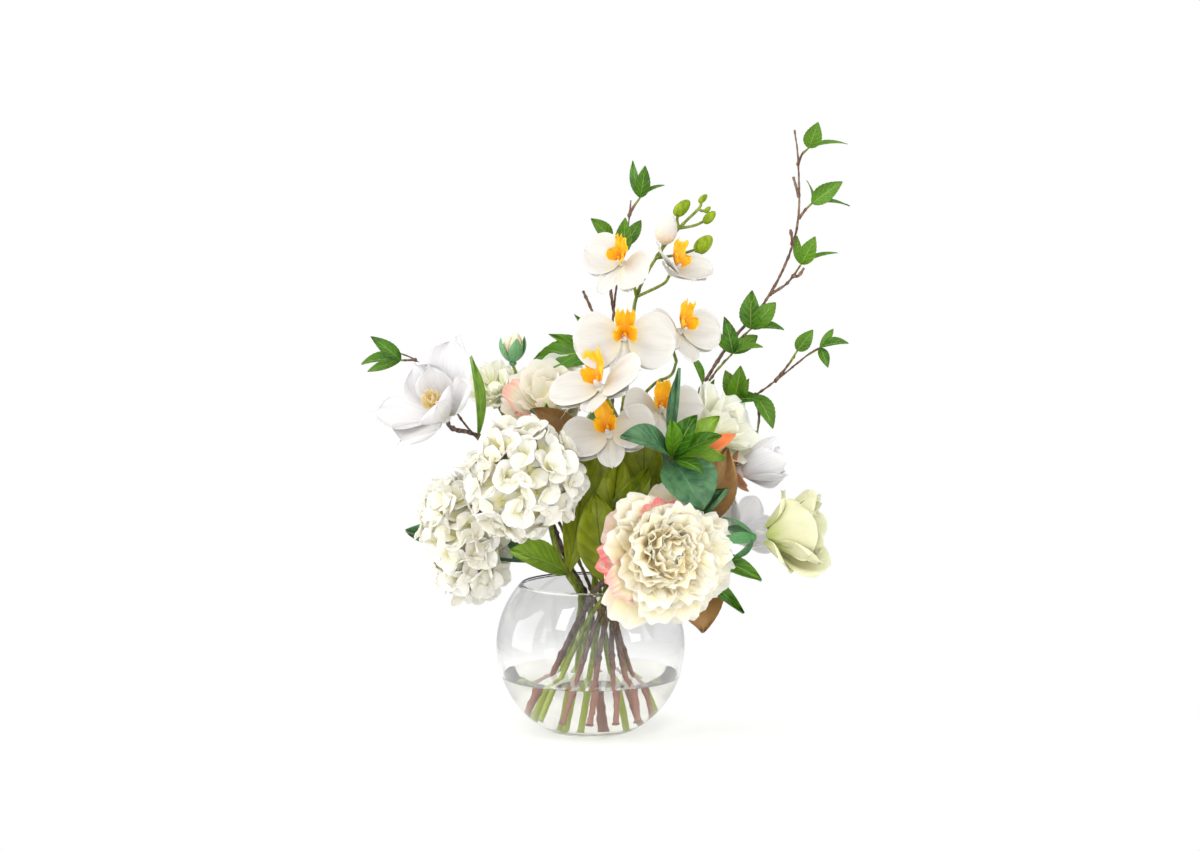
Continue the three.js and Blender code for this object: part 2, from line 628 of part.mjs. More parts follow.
function makeLip({ at, axis, lip, size }) {
  const matrix = facing(at, axis);
  const parts = [egg(matrix, 4 * size, 5 * size, lipHeight, 5, 3)];
  lipLobes.forEach(([azimuth, length, width, rise, cup]) => {
    const shape = {
      ...cupPetal,
      length: length * size,
      width: width * size,
      rise: radians(rise),
      curl: radians(24),
      cup,
      rows: 2,
      columns: 1,
    };
    parts.push(petal(matrix, lip + azimuth, 3 * size, lipHeight, shape));
  });
  return joined(parts);
}

// ---- leaves on their stems ----

const toViewer = [0.1, -0.95, 0.3];
const upward = [0, -0.45, 0.9];

// Side shoots and small leaves of the twigs. Each leaf gives its base, its tip, the way it faces and its
// width.
const twigRight = {
  sides: [
    [[222, 64, 600], [226, 62, 610], [233, 60, 617]],
    [[224, 64, 543], [231, 62, 552], [237, 61, 558]],
    [[193, 59, 461], [208, 60, 470], [217, 58, 480], [226, 60, 493]],
    [[217, 58, 480], [223, 54, 481], [228, 50, 489]],
    [[223, 64, 566], [220, 63, 576], [217, 62, 586]],
    [[216, 62, 515], [216, 61, 521], [214, 60, 530]],
    [
      [92, 54, 285], [122, 78, 330], [156, 78, 345], [178, 68, 352], [199, 56, 368], [233, 43, 397],
      [245, 42, 404],
    ],
    [[199, 56, 368], [214, 50, 388], [221, 44, 401]],
    [[178, 68, 352], [182, 62, 330], [180, 58, 312]],
    [[147, 56, 405], [162, 52, 415], [172, 51, 424]],
    [[112, 58, 345], [136, 52, 380], [152, 46, 398]],
    [[112, 58, 345], [116, 48, 356], [120, 44, 366]],
  ],
  leaves: [
    [[233, 60, 617], [242, 50, 644], toViewer, 20], [[233, 60, 617], [276, 66, 621], upward, 11],
    [[237, 61, 558], [269, 52, 581], toViewer, 20], [[237, 61, 558], [279, 70, 555], upward, 11],
    [[237, 61, 558], [232, 73, 583], [0.9, -0.4, 0.2], 9], [[226, 60, 493], [240, 50, 523], toViewer, 19],
    [[226, 60, 493], [222, 70, 524], [-0.5, -0.8, 0.1], 11], [[226, 60, 493], [265, 56, 505], upward, 10],
    [[172, 51, 424], [172, 40, 466], [-0.3, -0.95, 0], 24], [[172, 51, 424], [199, 60, 452], toViewer, 22],
    [[172, 51, 424], [207, 44, 423], upward, 19], [[152, 46, 398], [142, 36, 438], toViewer, 17],
    [[152, 46, 398], [128, 58, 428], [-0.4, -0.9, 0.2], 11], [[152, 46, 398], [184, 36, 405], upward, 18],
    [[152, 46, 398], [180, 66, 416], toViewer, 17], [[120, 44, 366], [104, 30, 400], [0.6, -0.7, 0.3], 12],
    [[156, 78, 345], [146, 80, 378], toViewer, 20], [[156, 78, 345], [162, 66, 384], toViewer, 22],
    [[178, 68, 352], [192, 44, 358], upward, 18], [[122, 78, 330], [134, 72, 369], [-0.3, -0.9, 0.3], 13],
    [[178, 68, 352], [202, 58, 330], [0.3, -0.8, 0.5], 20], [[180, 58, 312], [196, 52, 300], toViewer, 15],
    [[221, 44, 401], [237, 36, 424], toViewer, 17],
    [[245, 42, 404], [275, 34, 409], upward, 20], [[245, 42, 404], [261, 58, 424], toViewer, 9],
    [[245, 42, 404], [253, 34, 383], toViewer, 12],
  ],
};
const twigCentre = {
  sides: [
    [[41, 50, 545], [47, 52, 556], [53, 53, 564]],
    [[25, 38, 440], [22, 33, 460], [21, 32, 474]],
    [[22, 36, 400], [8, 32, 430], [-2, 32, 452], [-8, 34, 465]],
    [[36, 46, 506], [28, 47, 514], [22, 49, 520]],
  ],
  leaves: [
    [[53, 53, 564], [58, 44, 598], toViewer, 17], [[53, 53, 564], [45, 64, 604], [-0.5, -0.8, 0.1], 12],
    [[53, 53, 564], [79, 48, 577], upward, 10], [[22, 49, 520], [0, 40, 542], toViewer, 17],
    [[36, 46, 506], [37, 36, 543], [-0.2, -0.95, 0.1], 19], [[37, 47, 512], [54, 62, 540], toViewer, 15],
    [[23, 36, 390], [-45, 20, 420], toViewer, 20], [[23, 36, 392], [-18, 50, 440], toViewer, 14],
    [[22, 36, 400], [-64, 84, 388], [-0.3, -0.7, 0.75], 26],
  ],
};
const twigLeft = {
  sides: [
    [[-186, 24, 392], [-194, 22, 392], [-201, 21, 392]],
    [[-160, 26, 362], [-168, 25, 382], [-174, 22, 395]],
  ],
  leaves: [
    [[-201, 21, 392], [-232, 10, 418], toViewer, 16], [[-201, 21, 392], [-242, 10, 388], upward, 23],
    [[-201, 21, 392], [-238, 34, 379], toViewer, 11],
  ],
};

const small = { columns: 1, cup: 0, claw: 0.06, peak: 1.3, round: 1.4 };
const narrowLeaf = 13; // below this width a small leaf has two rows

function makeTwig(name, { sides, leaves }) {
  const parts = [stemTube(name, 4)];
  sides.forEach((points) => parts.push(tube(points, 1.7, 1.35, 4, points.length - 1)));
  leaves.forEach(([base, tip, look, width]) => {
    parts.push(leaf({ base, tip, look, width, ...small, rows: width < narrowLeaf ? 2 : 3 }));
  });
  return joined(parts);
}

// Larger leaves on each stem: base, tip, the way the upper face looks, width and how far the midrib arches.
const stemLeaves = {
  hydrangea_front: [
    [[-24, -22, 170], [-4, -22, 320], [0.35, -0.9, 0.15], 44, 0.5],
    [[-24, -22, 170], [-84, -62, 200], [0, -0.75, 0.65], 40, 0.6],
  ],
  hydrangea_side: [[[-36, 14, 176], [-188, 84, 194], [-0.1, 0.85, 0.5], 46, 0.8]],
  peony_front: [
    [[14, -40, 164], [4, -68, 262], [0.1, -0.95, -0.2], 50, 0.7],
    [[14, -40, 164], [30, -38, 300], [0.1, -0.95, 0.2], 46, 0.3],
    [[14, -40, 164], [62, -56, 288], [-0.3, -0.92, 0.2], 42, 0.5],
  ],
  peony_back: [
    [[4, 22, 200], [-8, 112, 296], [0, 0.6, 0.8], 48, 0.8],
    [[-14, 50, 262], [10, 96, 346], [0.3, 0.8, 0.4], 40, 0.6],
  ],
  peony_right: [
    [[86, -50, 288], [30, -96, 342], [0.1, -0.5, 0.85], 28, 0.9],
    [[86, -50, 288], [95, -80, 392], [-0.7, -0.7, 0.1], 16, 0.3],
    [[86, -50, 288], [112, -78, 342], [-0.2, -0.9, 0.4], 24, 0.5],
    [[86, -50, 288], [138, -72, 312], [0, -0.75, 0.65], 26, 0.5],
  ],
  magnolia_left: [
    [[-112, 10, 308], [-112, 36, 402], [0.75, -0.6, 0], 28, 0.5],
    [[-58, 30, 250], [-46, -14, 350], [0.1, -0.95, 0.2], 32, 0.5],
  ],
  magnolia_right: [
    [[62, -8, 178], [150, -58, 300], [-0.3, -0.85, 0.2], 52, 0.4],
    [[62, -8, 178], [142, -70, 266], [0.05, -0.7, 0.7], 46, 0.4],
    [[100, 0, 232], [122, 112, 292], [0.2, 0.5, 0.85], 46, 0.7],
  ],
  magnolia_low: [[[92, -18, 180], [122, -84, 108], [0.3, -0.9, 0], 48, 0.5]],
  rose: [
    [[140, -62, 206], [178, -72, 170], [0.1, -0.7, 0.7], 20, 0.5],
    [[92, -52, 190], [160, -72, 140], [0.5, -0.85, 0], 14, 0.5],
  ],
};
const broad = { rows: 4, columns: 2, saw: 0.03, cup: 0.45, claw: 0.06, peak: 1.45, round: 1.2 };

// Sepals under a bloom: narrow blades in a ring, seen behind its petals.
const sepalShape = { claw: 0.12, peak: 0.9, columns: 1, thickness: leafThickness };

function sepals(bloomName, count, length, width, rise, curl, start = 0) {
  const { at, axis, core } = blooms[bloomName];
  const matrix = facing(at, axis);
  const up = core[2] - core[1] - 3.6 - seatGap;
  const parts = [egg(matrix, 4.6, 3.6, up, 5, 3)];
  for (let i = 0; i < count; i++) {
    const tilt = radians(rise + 8 * sway(i + 500));
    const shape = { ...sepalShape, length, width, rise: tilt, curl: radians(curl) };
    parts.push(petal(matrix, start + (360 * i) / count, 3, up, shape));
  }
  return parts;
}

const calyx = {
  rose: () => sepals("rose", 5, 36, 12, -30, -30, 8),
  peony_right: () => sepals("peony_right", 4, 32, 17, -12, 30, 20),
  magnolia_right: () => sepals("magnolia_right", 4, 28, 15, 4, 20, 30),
};

// The shoot that carries the rosette of narrow leaves in front of the right peony's stem.
const rosetteStalk = [[88, 24, 256], [88, -14, 268], [86, -52, 289]];

function makeStem(name) {
  const parts = [stemTube(name)];
  if (name === "peony_right") parts.push(tube(rosetteStalk, 2.2, 2.4, 5, 2));
  (stemLeaves[name] || []).forEach(([base, tip, look, width, bend]) => {
    parts.push(leaf({ base, tip, look, width, bend, ...broad, rows: width < 30 ? 3 : 4 }));
  });
  if (calyx[name]) parts.push(...calyx[name]());
  return joined(parts);
}

// Where each orchid bloom's stalk leaves the stem. It ends just behind the bloom's core.
const bloomStalks = {
  orchid_high: [[42, -10, 410], [48, -14, 460], [48, -14, 460], [68, -15, 500]],
  orchid_low: [[90, -8, 392], [46, 4, 300], [46, 4, 300], [46, 4, 300]],
};
const budStalks = [
  [[68, -15, 500], [92, -16, 504], [112, -16, 510]], [[92, -15, 531], [90, -14, 540], [92, -13, 546]],
  [[92, -15, 531], [108, -16, 534], [119, -16, 539]], [[112, -15, 551], [116, -16, 549], [120, -16, 550]],
];
// Each orchid bud's place, radius and half-length.
const orchidBuds = [
  [[114, -16, 511], 9.5, 12], [[92, -12, 549], 8, 11], [[121, -16, 540], 6, 8.5], [[120, -16, 549], 3, 4.5],
  [[115, -15, 560], 4, 6],
];

function makeOrchidStem(name) {
  const parts = [stemTube(name)];
  bloomStalks[name].forEach((start, i) => {
    const { at, axis, size } = orchids[name === "orchid_high" ? i : i + 4];
    const out = point(axis).normalize();
    const behind = (d) => point(at).addScaledVector(out, -d - orchidCore.along * size).toArray();
    parts.push(tube([start, behind(12), behind(0.4)], 1.6, 1.4, 4, 2));
  });
  if (name === "orchid_high") {
    budStalks.forEach((points) => parts.push(tube(points, 1.6, 1.4, 4, 2)));
    orchidBuds.forEach(([at, across, along]) => {
      const [around, down] = across > 5 ? [6, 4] : [5, 3];
      parts.push(egg(facing(at, [0.7, -0.1, 0.7]), across, along, along * 0.4, around, down));
    });
  }
  return joined(parts);
}

// The closed peony bud on its own stalk off the left peony's stem: cream petals in green sepals.
const bud = {
  at: [-84, 62, 389], axis: [0, -0.12, 1], across: 10.5, along: 15,
  stalk: [[-46, 84, 250], [-56, 82, 310], [-76, 66, 362], [-84, 62, 385]],
};

function makeBudStalk() {
  const matrix = facing(bud.at, bud.axis);
  const parts = [tube(bud.stalk, 2, 1.6, 4, 4), egg(matrix, 4, 3, -2.5, 5, 3)];
  const shape = { ...sepalShape, length: 30, width: 17, rise: radians(14), curl: radians(98) };
  for (let i = 0; i < 4; i++) parts.push(petal(matrix, 20 + 90 * i, 2.5, -1.8, shape));
  return parts;
}

const budPetals = () => egg(facing(bud.at, bud.axis), bud.across, bud.along, bud.along + 1, 8, 8);

// ---- assembly: what comes first keeps its whole shape, and what comes later is cut clear of it ----

const group = new THREE.Group();
const placed = new Map();

function place(name, solid, look) {
  let shape = solid;
  for (const [, other] of placed) {
    if (boxesMeet(shape, other.solid) && shape.intersect(other.grown).volume() > 0) {
      shape = shape.subtract(other.grown);
    }
  }
  shape = largest(shape);
  placed.set(name, { solid: shape, grown: grown(shape) });
  const mesh = new THREE.Mesh(geometryOf(shape), new THREE.MeshStandardMaterial(finish[look]));
  mesh.name = name;
  group.add(mesh);
}

place("bowl", makeBowl(), "glass");
const woody = ["magnolia_left", "magnolia_right", "magnolia_low"];
const green = ["hydrangea_front", "hydrangea_side", "peony_front", "peony_back", "peony_right", "rose"];
place("twig_right", makeTwig("twig_right", twigRight), "twigLeaf");
place("twig_centre", makeTwig("twig_centre", twigCentre), "twigLeaf");
place("twig_left", makeTwig("twig_left", twigLeft), "twigLeaf");
place("orchid_high_stem", makeOrchidStem("orchid_high"), "greenStem");
place("orchid_low_stem", makeOrchidStem("orchid_low"), "greenStem");
woody.forEach((name) => place(`${name}_stem`, makeStem(name), "darkLeaf"));
green.forEach((name) => place(`${name}_stem`, makeStem(name), "oliveLeaf"));
place("peony_left_stem", joined([stemTube("peony_left"), ...makeBudStalk()]), "oliveLeaf");
place("water", makeWater([...placed.values()].filter((p, i) => i > 0).map((p) => p.solid)), "water");
place("peony_bud", budPetals(), "peony");
place("magnolia_left_stamens", makeStamens(), "stamen");
orchids.forEach((orchid, i) => place(`orchid_lip_${i + 1}`, makeLip(orchid), "lip"));
orchids.forEach((orchid, i) => place(`orchid_bloom_${i + 1}`, makeOrchid(orchid), "orchid"));
place("magnolia_left_bloom", makeOpenMagnolia(), "magnolia");
Object.entries(blooms).forEach(([name, bloom]) => place(`${name}_bloom`, makeBloom(bloom), bloom.finish));
Object.entries(hydrangeas).forEach(([name, head]) => place(`${name}_head`, makeHydrangea(head), "hydrangea"));

export default group;
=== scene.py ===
# A mixed bunch in a glass fish bowl: every petal, leaf and stem is a surface worked out with numpy.
from functools import partialmethod
from math import cos, pi, radians, sin, sqrt
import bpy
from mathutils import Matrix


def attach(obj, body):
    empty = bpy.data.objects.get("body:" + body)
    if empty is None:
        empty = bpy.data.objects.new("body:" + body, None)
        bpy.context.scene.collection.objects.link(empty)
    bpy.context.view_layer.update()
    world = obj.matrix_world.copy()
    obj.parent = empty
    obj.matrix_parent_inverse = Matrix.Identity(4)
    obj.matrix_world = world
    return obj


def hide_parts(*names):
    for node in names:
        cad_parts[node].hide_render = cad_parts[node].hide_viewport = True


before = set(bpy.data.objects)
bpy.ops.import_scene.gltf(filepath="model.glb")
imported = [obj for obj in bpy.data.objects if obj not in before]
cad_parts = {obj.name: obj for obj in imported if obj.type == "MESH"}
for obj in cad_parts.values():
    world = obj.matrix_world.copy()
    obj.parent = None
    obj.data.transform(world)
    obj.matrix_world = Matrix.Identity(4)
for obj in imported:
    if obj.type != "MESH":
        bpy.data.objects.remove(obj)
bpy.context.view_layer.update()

from types import SimpleNamespace
import bpy
import numpy as np
from mathutils import Vector

mm = 0.001  # shapes are worked out in millimetres, meshes are in metres
golden = pi * (3 - sqrt(5))
smallest = 1e-4  # stands in for an angle of nought where a formula divides by it


# a repeatable draw from 0 to 1 for each whole number, and the same draw from -1 to 1
def draw(n):
    s = np.sin(np.asarray(n, float) * 12.9898 + 4.1414) * 43758.5453
    return s - np.floor(s)


def sway(n):
    return 2 * draw(n) - 1


def unit(v):
    v = np.asarray(v, float)
    return v / np.linalg.norm(v, axis=-1, keepdims=True)


# a text table as an array: numbers with spaces between them, and a comma between rows
def rowsOf(text):
    return np.array([row.split() for row in text.split(",")], float)


# one value, or one for each item, shaped to be combined with arrays of that many more dimensions
def each(value, more=2):
    return np.asarray(value, float).reshape(-1, *[1] * more)


# Placements are stacks of 4 by 4 matrices, multiplied with @: here +X along x, +Z along z
def framesAt(x, z, at):
    m = np.tile(np.eye(4), (len(at), 1, 1))
    m[:, :3] = np.stack([x, np.cross(z, x), z, at], -1)
    return m


# +Z along the axis, +X the upward direction square to it
def facing(at, axis):
    z = unit([axis])
    return framesAt(unit(np.array([0, 0, 1.0]) - z[:, 2:] * z), z, np.array([at]))


def turned(axis, degrees):
    a = np.radians(each(degrees, 0))
    first, second = {"x": (1, 2), "y": (2, 0), "z": (0, 1)}[axis]
    m = np.tile(np.eye(4), (len(a), 1, 1))
    m[:, first, first] = m[:, second, second] = np.cos(a)
    m[:, first, second], m[:, second, first] = -np.sin(a), np.sin(a)
    return m


def moved(x, y, z):
    at = np.stack(np.broadcast_arrays(*(each(w, 0) for w in (x, y, z))), -1)
    return framesAt([[1, 0, 0]] * len(at), [[0, 0, 1]] * len(at), at)


# petals round a bloom's axis: turned to their azimuth, set out and up, raised, and rolled about their midline
def petalPlaces(bloom, azimuth, out, up, rise, roll=0):
    azimuth, out, up, rise, roll = np.broadcast_arrays(azimuth, out, up, rise, roll)
    return bloom @ turned("z", azimuth) @ moved(out, 0, up) @ turned("y", -rise) @ turned("x", roll)


# each item's points, carried by its own placement
def put(places, points):
    away = places[:, :3, 3].reshape(-1, *[1] * (points.ndim - 2), 3)
    return np.einsum("nij,n...j->n...i", places[:, :3, :3], points) + away


# quads between neighbouring rows and columns of an array of vertex numbers
def faceIndex(grid):
    a, b = grid[..., :-1, :], grid[..., 1:, :]
    return np.stack([a[..., :-1], b[..., :-1], b[..., 1:], a[..., 1:]], -1).reshape(-1, 4)


# what every surface returns: its points and faces, its material, and what the finishes read at each point
def makePart(points, faces, material, **read):
    values = {key: np.broadcast_to(value, points.shape[:-1]).ravel() for key, value in read.items()}
    return {"points": points.reshape(-1, 3), "faces": faces, "material": material, **values}


bladeShape = dict(
    rise=0, claw=0.2, peak=1, round=1, end=1, arch=0, notch=0, lobes=2, phase=0, saw=0, teeth=10, wave=0, waves=2,
    ruffle=0, ruffles=3, fold=0, folds=3, jag=0, jags=3, keel=0, ribs=0, pairs=7, flare=0, roll=0, thickness=0.6)


# Blades, one for each placement: u runs from root to tip and v from edge to edge.
# The midline is an arc of the given length that leaves the root at rise and turns by curl; across, the blade is an
# arc of half-angle cup. Half the width is a claw at the root plus sin(pi end u^peak)^round. The tip is drawn back by
# arch and cut by notch and jag; folds run lengthwise, ruffles grow towards the rim, ribs are the raised side veins,
# and flare and roll turn the tip and the edges back.
def blades(places, rows, columns, material=0, tint=None, blush=0, crowd=1.15, **choice):
    n = len(places)
    s = SimpleNamespace(**{key: each(value) for key, value in {**bladeShape, **choice}.items()})
    u = (0.99 - 0.99 * (1 - np.linspace(0, 1, rows + 1)) ** crowd).reshape(-1, 1)
    v = np.linspace(-1, 1, columns + 1)
    if columns > 4:
        v = np.sin(v * pi / 2)
    jag = 0.6 * np.sin(s.jags * pi * v + 3 * s.phase) + 0.4 * np.sin(2.3 * s.jags * pi * v + 5 * s.phase)
    along = u * (1 - s.arch * v ** 2 + s.notch * np.cos(pi * s.lobes * v + s.phase) + s.jag * jag * u ** 3)
    claw = s.claw * (1 - u)
    swell = np.clip(np.sin(pi * s.end * u ** s.peak), 0, 1) ** s.round
    tooth = s.teeth * u - np.floor(s.teeth * u + 1e-6)
    half = np.maximum(s.width / 2 * (claw + (1 - claw) * swell) * (1 + s.saw * (0.5 - tooth)), 0.03)
    cup, curl = (np.where(np.abs(w) < smallest, smallest, w) for w in (s.cup, s.curl))
    rib = np.cos(2 * pi * s.pairs * (u - 0.3 * np.abs(v)))
    lift = (
        half * (1 - np.cos(cup * v)) / cup
        + s.wave * s.length * u ** 2 * np.sin(pi * s.waves * v + s.phase)
        + s.fold * np.sin(pi * u) ** 0.6 * np.sin(s.folds * pi * v + 2 * s.phase)
        + s.ruffle * u ** 3 * np.sin(s.ruffles * pi * v + 4 * s.phase)
        + s.ruffle * np.sign(v) * v ** 2 * u * np.sin(s.ruffles * pi * u * 1.3 + s.phase * 7 + v)
        + s.keel * half * np.abs(v)
        - s.flare * s.length * u ** 5 - s.roll * half * v ** 6 * u
        - s.ribs * np.abs(v) * (1 - v ** 2) * rib
    )
    angle = s.rise + curl * along
    x = s.length * (np.sin(angle) - np.sin(s.rise)) / curl - np.sin(angle) * lift
    y = half * np.sin(cup * v) / cup
    z = s.length * (np.cos(s.rise) - np.cos(angle)) / curl + np.cos(angle) * lift
    shape = (n, rows + 1, columns + 1)
    sheet = np.stack([np.broadcast_to(w, shape) for w in (x, y, z)], -1)
    normal = np.cross(np.gradient(sheet, axis=1), np.gradient(sheet, axis=2))
    normal = normal / np.maximum(np.linalg.norm(normal, axis=-1, keepdims=True), 1e-9)
    thick = normal * (s.thickness / 2 * (1 - 0.75 * v ** 6) * (1 - 0.75 * u ** 6))[..., None]
    points = put(places, np.stack([sheet + thick, sheet - thick], 1))  # blade, side, row, column
    number = np.arange(points[..., 0].size).reshape(points.shape[:-1])
    front, back = number[:, 0], number[:, 1]
    faces = [faceIndex(front), faceIndex(back)[:, ::-1]]
    edges = ((front[:, :, 0], back[:, :, 0], -1), (back[:, :, -1], front[:, :, -1], -1),
             (front[:, 0], back[:, 0], 1), (back[:, -1], front[:, -1], 1))
    faces += [faceIndex(np.stack([a, b], -1))[:, ::order] for a, b, order in edges]
    tint = draw(np.arange(n) + n) if tint is None else tint
    return makePart(points, [np.concatenate(faces)], material, across=v / 2 + 0.5, along=u,
                    back=np.array([0.0, 1.0]).reshape(2, 1, 1), tint=each(tint, 3), blush=each(blush, 3))


# closed rings of points, joined one to the next and capped at both ends: rings is item, ring, side, xyz
def ringed(rings, material=0, tint=0.5, along=None):
    count, sides = rings.shape[1:3]
    number = np.arange(rings[..., 0].size).reshape(rings.shape[:-1])
    faces = [faceIndex(np.concatenate([number, number[..., :1]], -1))[:, ::-1], number[:, 0, ::-1], number[:, -1]]
    along = np.linspace(0, 1, count) if along is None else along
    return makePart(rings, faces, material, across=np.arange(sides) / sides, along=each(along, 1), back=0.0,
                    tint=each(tint), blush=0.0)


# rings of radius and height round +Z: both are arrays whose last direction runs round the ring
def roundRings(radius, height, sides):
    turn = np.arange(sides) * 2 * pi / sides
    return np.stack(np.broadcast_arrays(radius * np.cos(turn), radius * np.sin(turn), height), -1)


# Eggs along each placement's +Z: radius is across times sin, height is along times cos of the angle from the pole
def eggs(places, across, along, up=0, sides=10, count=8, material=0, tint=0.5, point=0):
    angle = np.linspace(pi - 0.03, 0.03, count).reshape(-1, 1)
    across, along, up = (each(np.broadcast_to(w, len(places))) for w in (across, along, up))
    radius = np.sin(angle) * (1 - point * (np.cos(angle) + 1) / 2) * across
    return ringed(put(places, roundRings(radius, np.cos(angle) * along + up, sides)), material, tint)


# A smooth curve through the points: a cubic in each span whose slopes are half the chord of the neighbours
def curveThrough(points, steps):
    p = np.vstack([2 * points[0] - points[1], points, 2 * points[-1] - points[-2]])
    t = np.linspace(0, len(points) - 1, steps + 1)
    i = np.minimum(t.astype(int), len(points) - 2)
    w = (t - i)[:, None]
    a, b, c, d = p[i], p[i + 1], p[i + 2], p[i + 3]
    start, end = (c - a) / 2, (d - b) / 2
    return b + w * (start + w * ((3 * (c - b) - 2 * start - end) + w * (2 * (b - c) + start + end)))


# A stem along a curve: its radius runs from one value to another, swells at its joints and is rough by knobs
def stem(points, start, end, sides=10, step=2.5, rough=0.1, joints=0, seed=0, material=0):
    points = np.asarray(points, float)
    steps = max(4, int(np.linalg.norm(np.diff(points, axis=0), axis=1).sum() / step))
    line = curveThrough(points, steps)
    run = np.concatenate([[0], np.cumsum(np.linalg.norm(np.diff(line, axis=0), axis=1))])
    tangent = unit(np.gradient(line, axis=0))
    hint = np.eye(3)[np.argmin(np.abs(line[-1] - line[0]))] + 0.01
    side = unit(hint - (tangent @ hint)[:, None] * tangent)
    other = np.cross(tangent, side)
    radius = start + (end - start) * run / run[-1]
    if joints:
        radius = radius * (1 + 0.35 * np.exp(-(((run / joints + 0.5) % 1 - 0.5) * joints / 2.2) ** 2))
    turn = np.arange(sides)[:, None] * 2 * pi / sides
    k = np.arange(1, 6)
    wobble = np.sin(run[:, None, None] * (0.21 * k) + turn * np.round(k / 2) + 9 * draw(seed + k))
    radius = (radius[:, None] * (1 + rough * wobble.mean(-1)))[..., None]
    rings = line[:, None] + radius * (side[:, None] * np.cos(turn) + other[:, None] * np.sin(turn))
    firstCap = line[0] + (rings[0] - line[0]) * 0.05
    lastCap = line[-1] + (rings[-1] - line[-1]) * 0.05 + tangent[-1] * radius[-1, 0, 0] * 0.3
    rings = np.concatenate([firstCap[None], rings, lastCap[None]])
    return ringed(rings[None], material, along=np.concatenate([[0], run, [run[-1]]]) / 100)


creaseAngle = 50
uvName = "surface"


def newObject(name, data, at=(0, 0, 0)):
    item = bpy.data.objects.new(name, data)
    item.location = at
    bpy.context.scene.collection.objects.link(item)
    return item


# One mesh of the parts: the surfaces' own coordinates are its UV map, and what the finishes read are attributes
def makePiece(name, node, looks, parts):
    offset, corners, sizes, number = 0, [], [], []
    for part in parts:
        for faces in part["faces"]:
            corners.append((faces + offset).ravel())
            sizes.append(np.full(len(faces), faces.shape[1]))
            number.append(np.full(len(faces), part["material"]))
        offset += len(part["points"])
    whole = lambda key: np.concatenate([part[key] for part in parts]).astype(np.float32)
    corners, sizes = np.concatenate(corners), np.concatenate(sizes)
    mesh = bpy.data.meshes.new(name)
    mesh.vertices.add(offset)
    mesh.loops.add(len(corners))
    mesh.polygons.add(len(sizes))
    mesh.vertices.foreach_set("co", np.concatenate([part["points"] for part in parts]).ravel() * mm)
    mesh.loops.foreach_set("vertex_index", corners.astype(np.int32))
    mesh.polygons.foreach_set("loop_start", (np.cumsum(sizes) - sizes).astype(np.int32))
    mesh.polygons.foreach_set("material_index", np.concatenate(number).astype(np.int32))
    mesh.polygons.foreach_set("use_smooth", np.ones(len(sizes), bool))
    uv = np.stack([whole("across")[corners], whole("along")[corners]], -1)
    mesh.uv_layers.new(name=uvName).uv.foreach_set("vector", uv.ravel())
    for key in ("back", "tint", "blush"):
        mesh.attributes.new(key, "FLOAT", "POINT").data.foreach_set("value", whole(key))
    for look in looks:
        mesh.materials.append(finishes[look])
    mesh.update()
    mesh.validate()
    mesh.set_sharp_from_angle(angle=radians(creaseAngle))
    piece = newObject(name, mesh)
    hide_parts(node)
    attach(piece, "root")


# What leaves a node; arithmetic with it adds the node that works it out
class Wire:
    def __init__(self, socket):
        self.socket = socket

    def calc(self, operation, *others):
        return add(self.socket.id_data, "Math", enumerate((self, *others)), operation=operation)

    __add__ = partialmethod(calc, "ADD")
    __sub__ = partialmethod(calc, "SUBTRACT")
    __mul__ = partialmethod(calc, "MULTIPLY")
    __abs__ = partialmethod(calc, "ABSOLUTE")


# an input is a value or what leaves another node
def add(tree, kind, inputs=(), output=0, **settings):
    node = tree.nodes.new("ShaderNode" + kind)
    for key, value in settings.items():
        setattr(node, key, value)
    for key, value in dict(inputs).items():
        if isinstance(value, Wire):
            tree.links.new(value.socket, node.inputs[key])
        else:
            node.inputs[key].default_value = value
    return Wire(node.outputs[output]) if node.outputs else None


# a material whose nodes are put in by a function of its tree and its look, which gives back what leaves the shader
def newFinish(name, nodesOf, look):
    finish = bpy.data.materials.new(name)
    finish.use_nodes = True
    tree = finish.node_tree
    tree.nodes.clear()
    add(tree, "OutputMaterial", {0: nodesOf(tree, look)})
    return finish


def addShader(tree, **inputs):
    return add(tree, "BsdfPrincipled", {key.replace("_", " "): value for key, value in inputs.items()})


# 0 below low and 1 above high, smooth between; low may be the larger
def step(value, low, high):
    inputs = {"Value": value, "From Min": low, "From Max": high, "To Min": 0, "To Max": 1}
    return add(value.socket.id_data, "MapRange", inputs, interpolation_type="SMOOTHSTEP")


def blend(factor, first, second, blendType="MIX"):
    tree = [w for w in (factor, first, second) if isinstance(w, Wire)][0].socket.id_data
    first, second = (colour if isinstance(colour, Wire) else (*colour, 1) for colour in (first, second))
    return add(tree, "Mix", {0: factor, 6: first, 7: second}, output=2, data_type="RGBA", blend_type=blendType)


def separate(vector):
    return [add(vector.socket.id_data, "SeparateXYZ", {0: vector}, output=k) for k in range(3)]


def surfaceCoordinates(tree):
    return separate(add(tree, "UVMap", uv_map=uvName))[:2]


def objectPlace(tree):
    return add(tree, "TexCoord", output=3)


def attribute(tree, name):
    return add(tree, "Attribute", output=2, attribute_name=name)


def noise(vector, scale, detail=2.0, roughness=0.5):
    inputs = {"Vector": vector, "Scale": scale, "Detail": detail, "Roughness": roughness}
    return add(vector.socket.id_data, "TexNoise", inputs)


def bump(height, distance, strength, normal=None):
    inputs = {"Height": height, "Distance": distance, "Strength": strength}
    if normal is not None:
        inputs["Normal"] = normal
    return add(height.socket.id_data, "Bump", inputs)


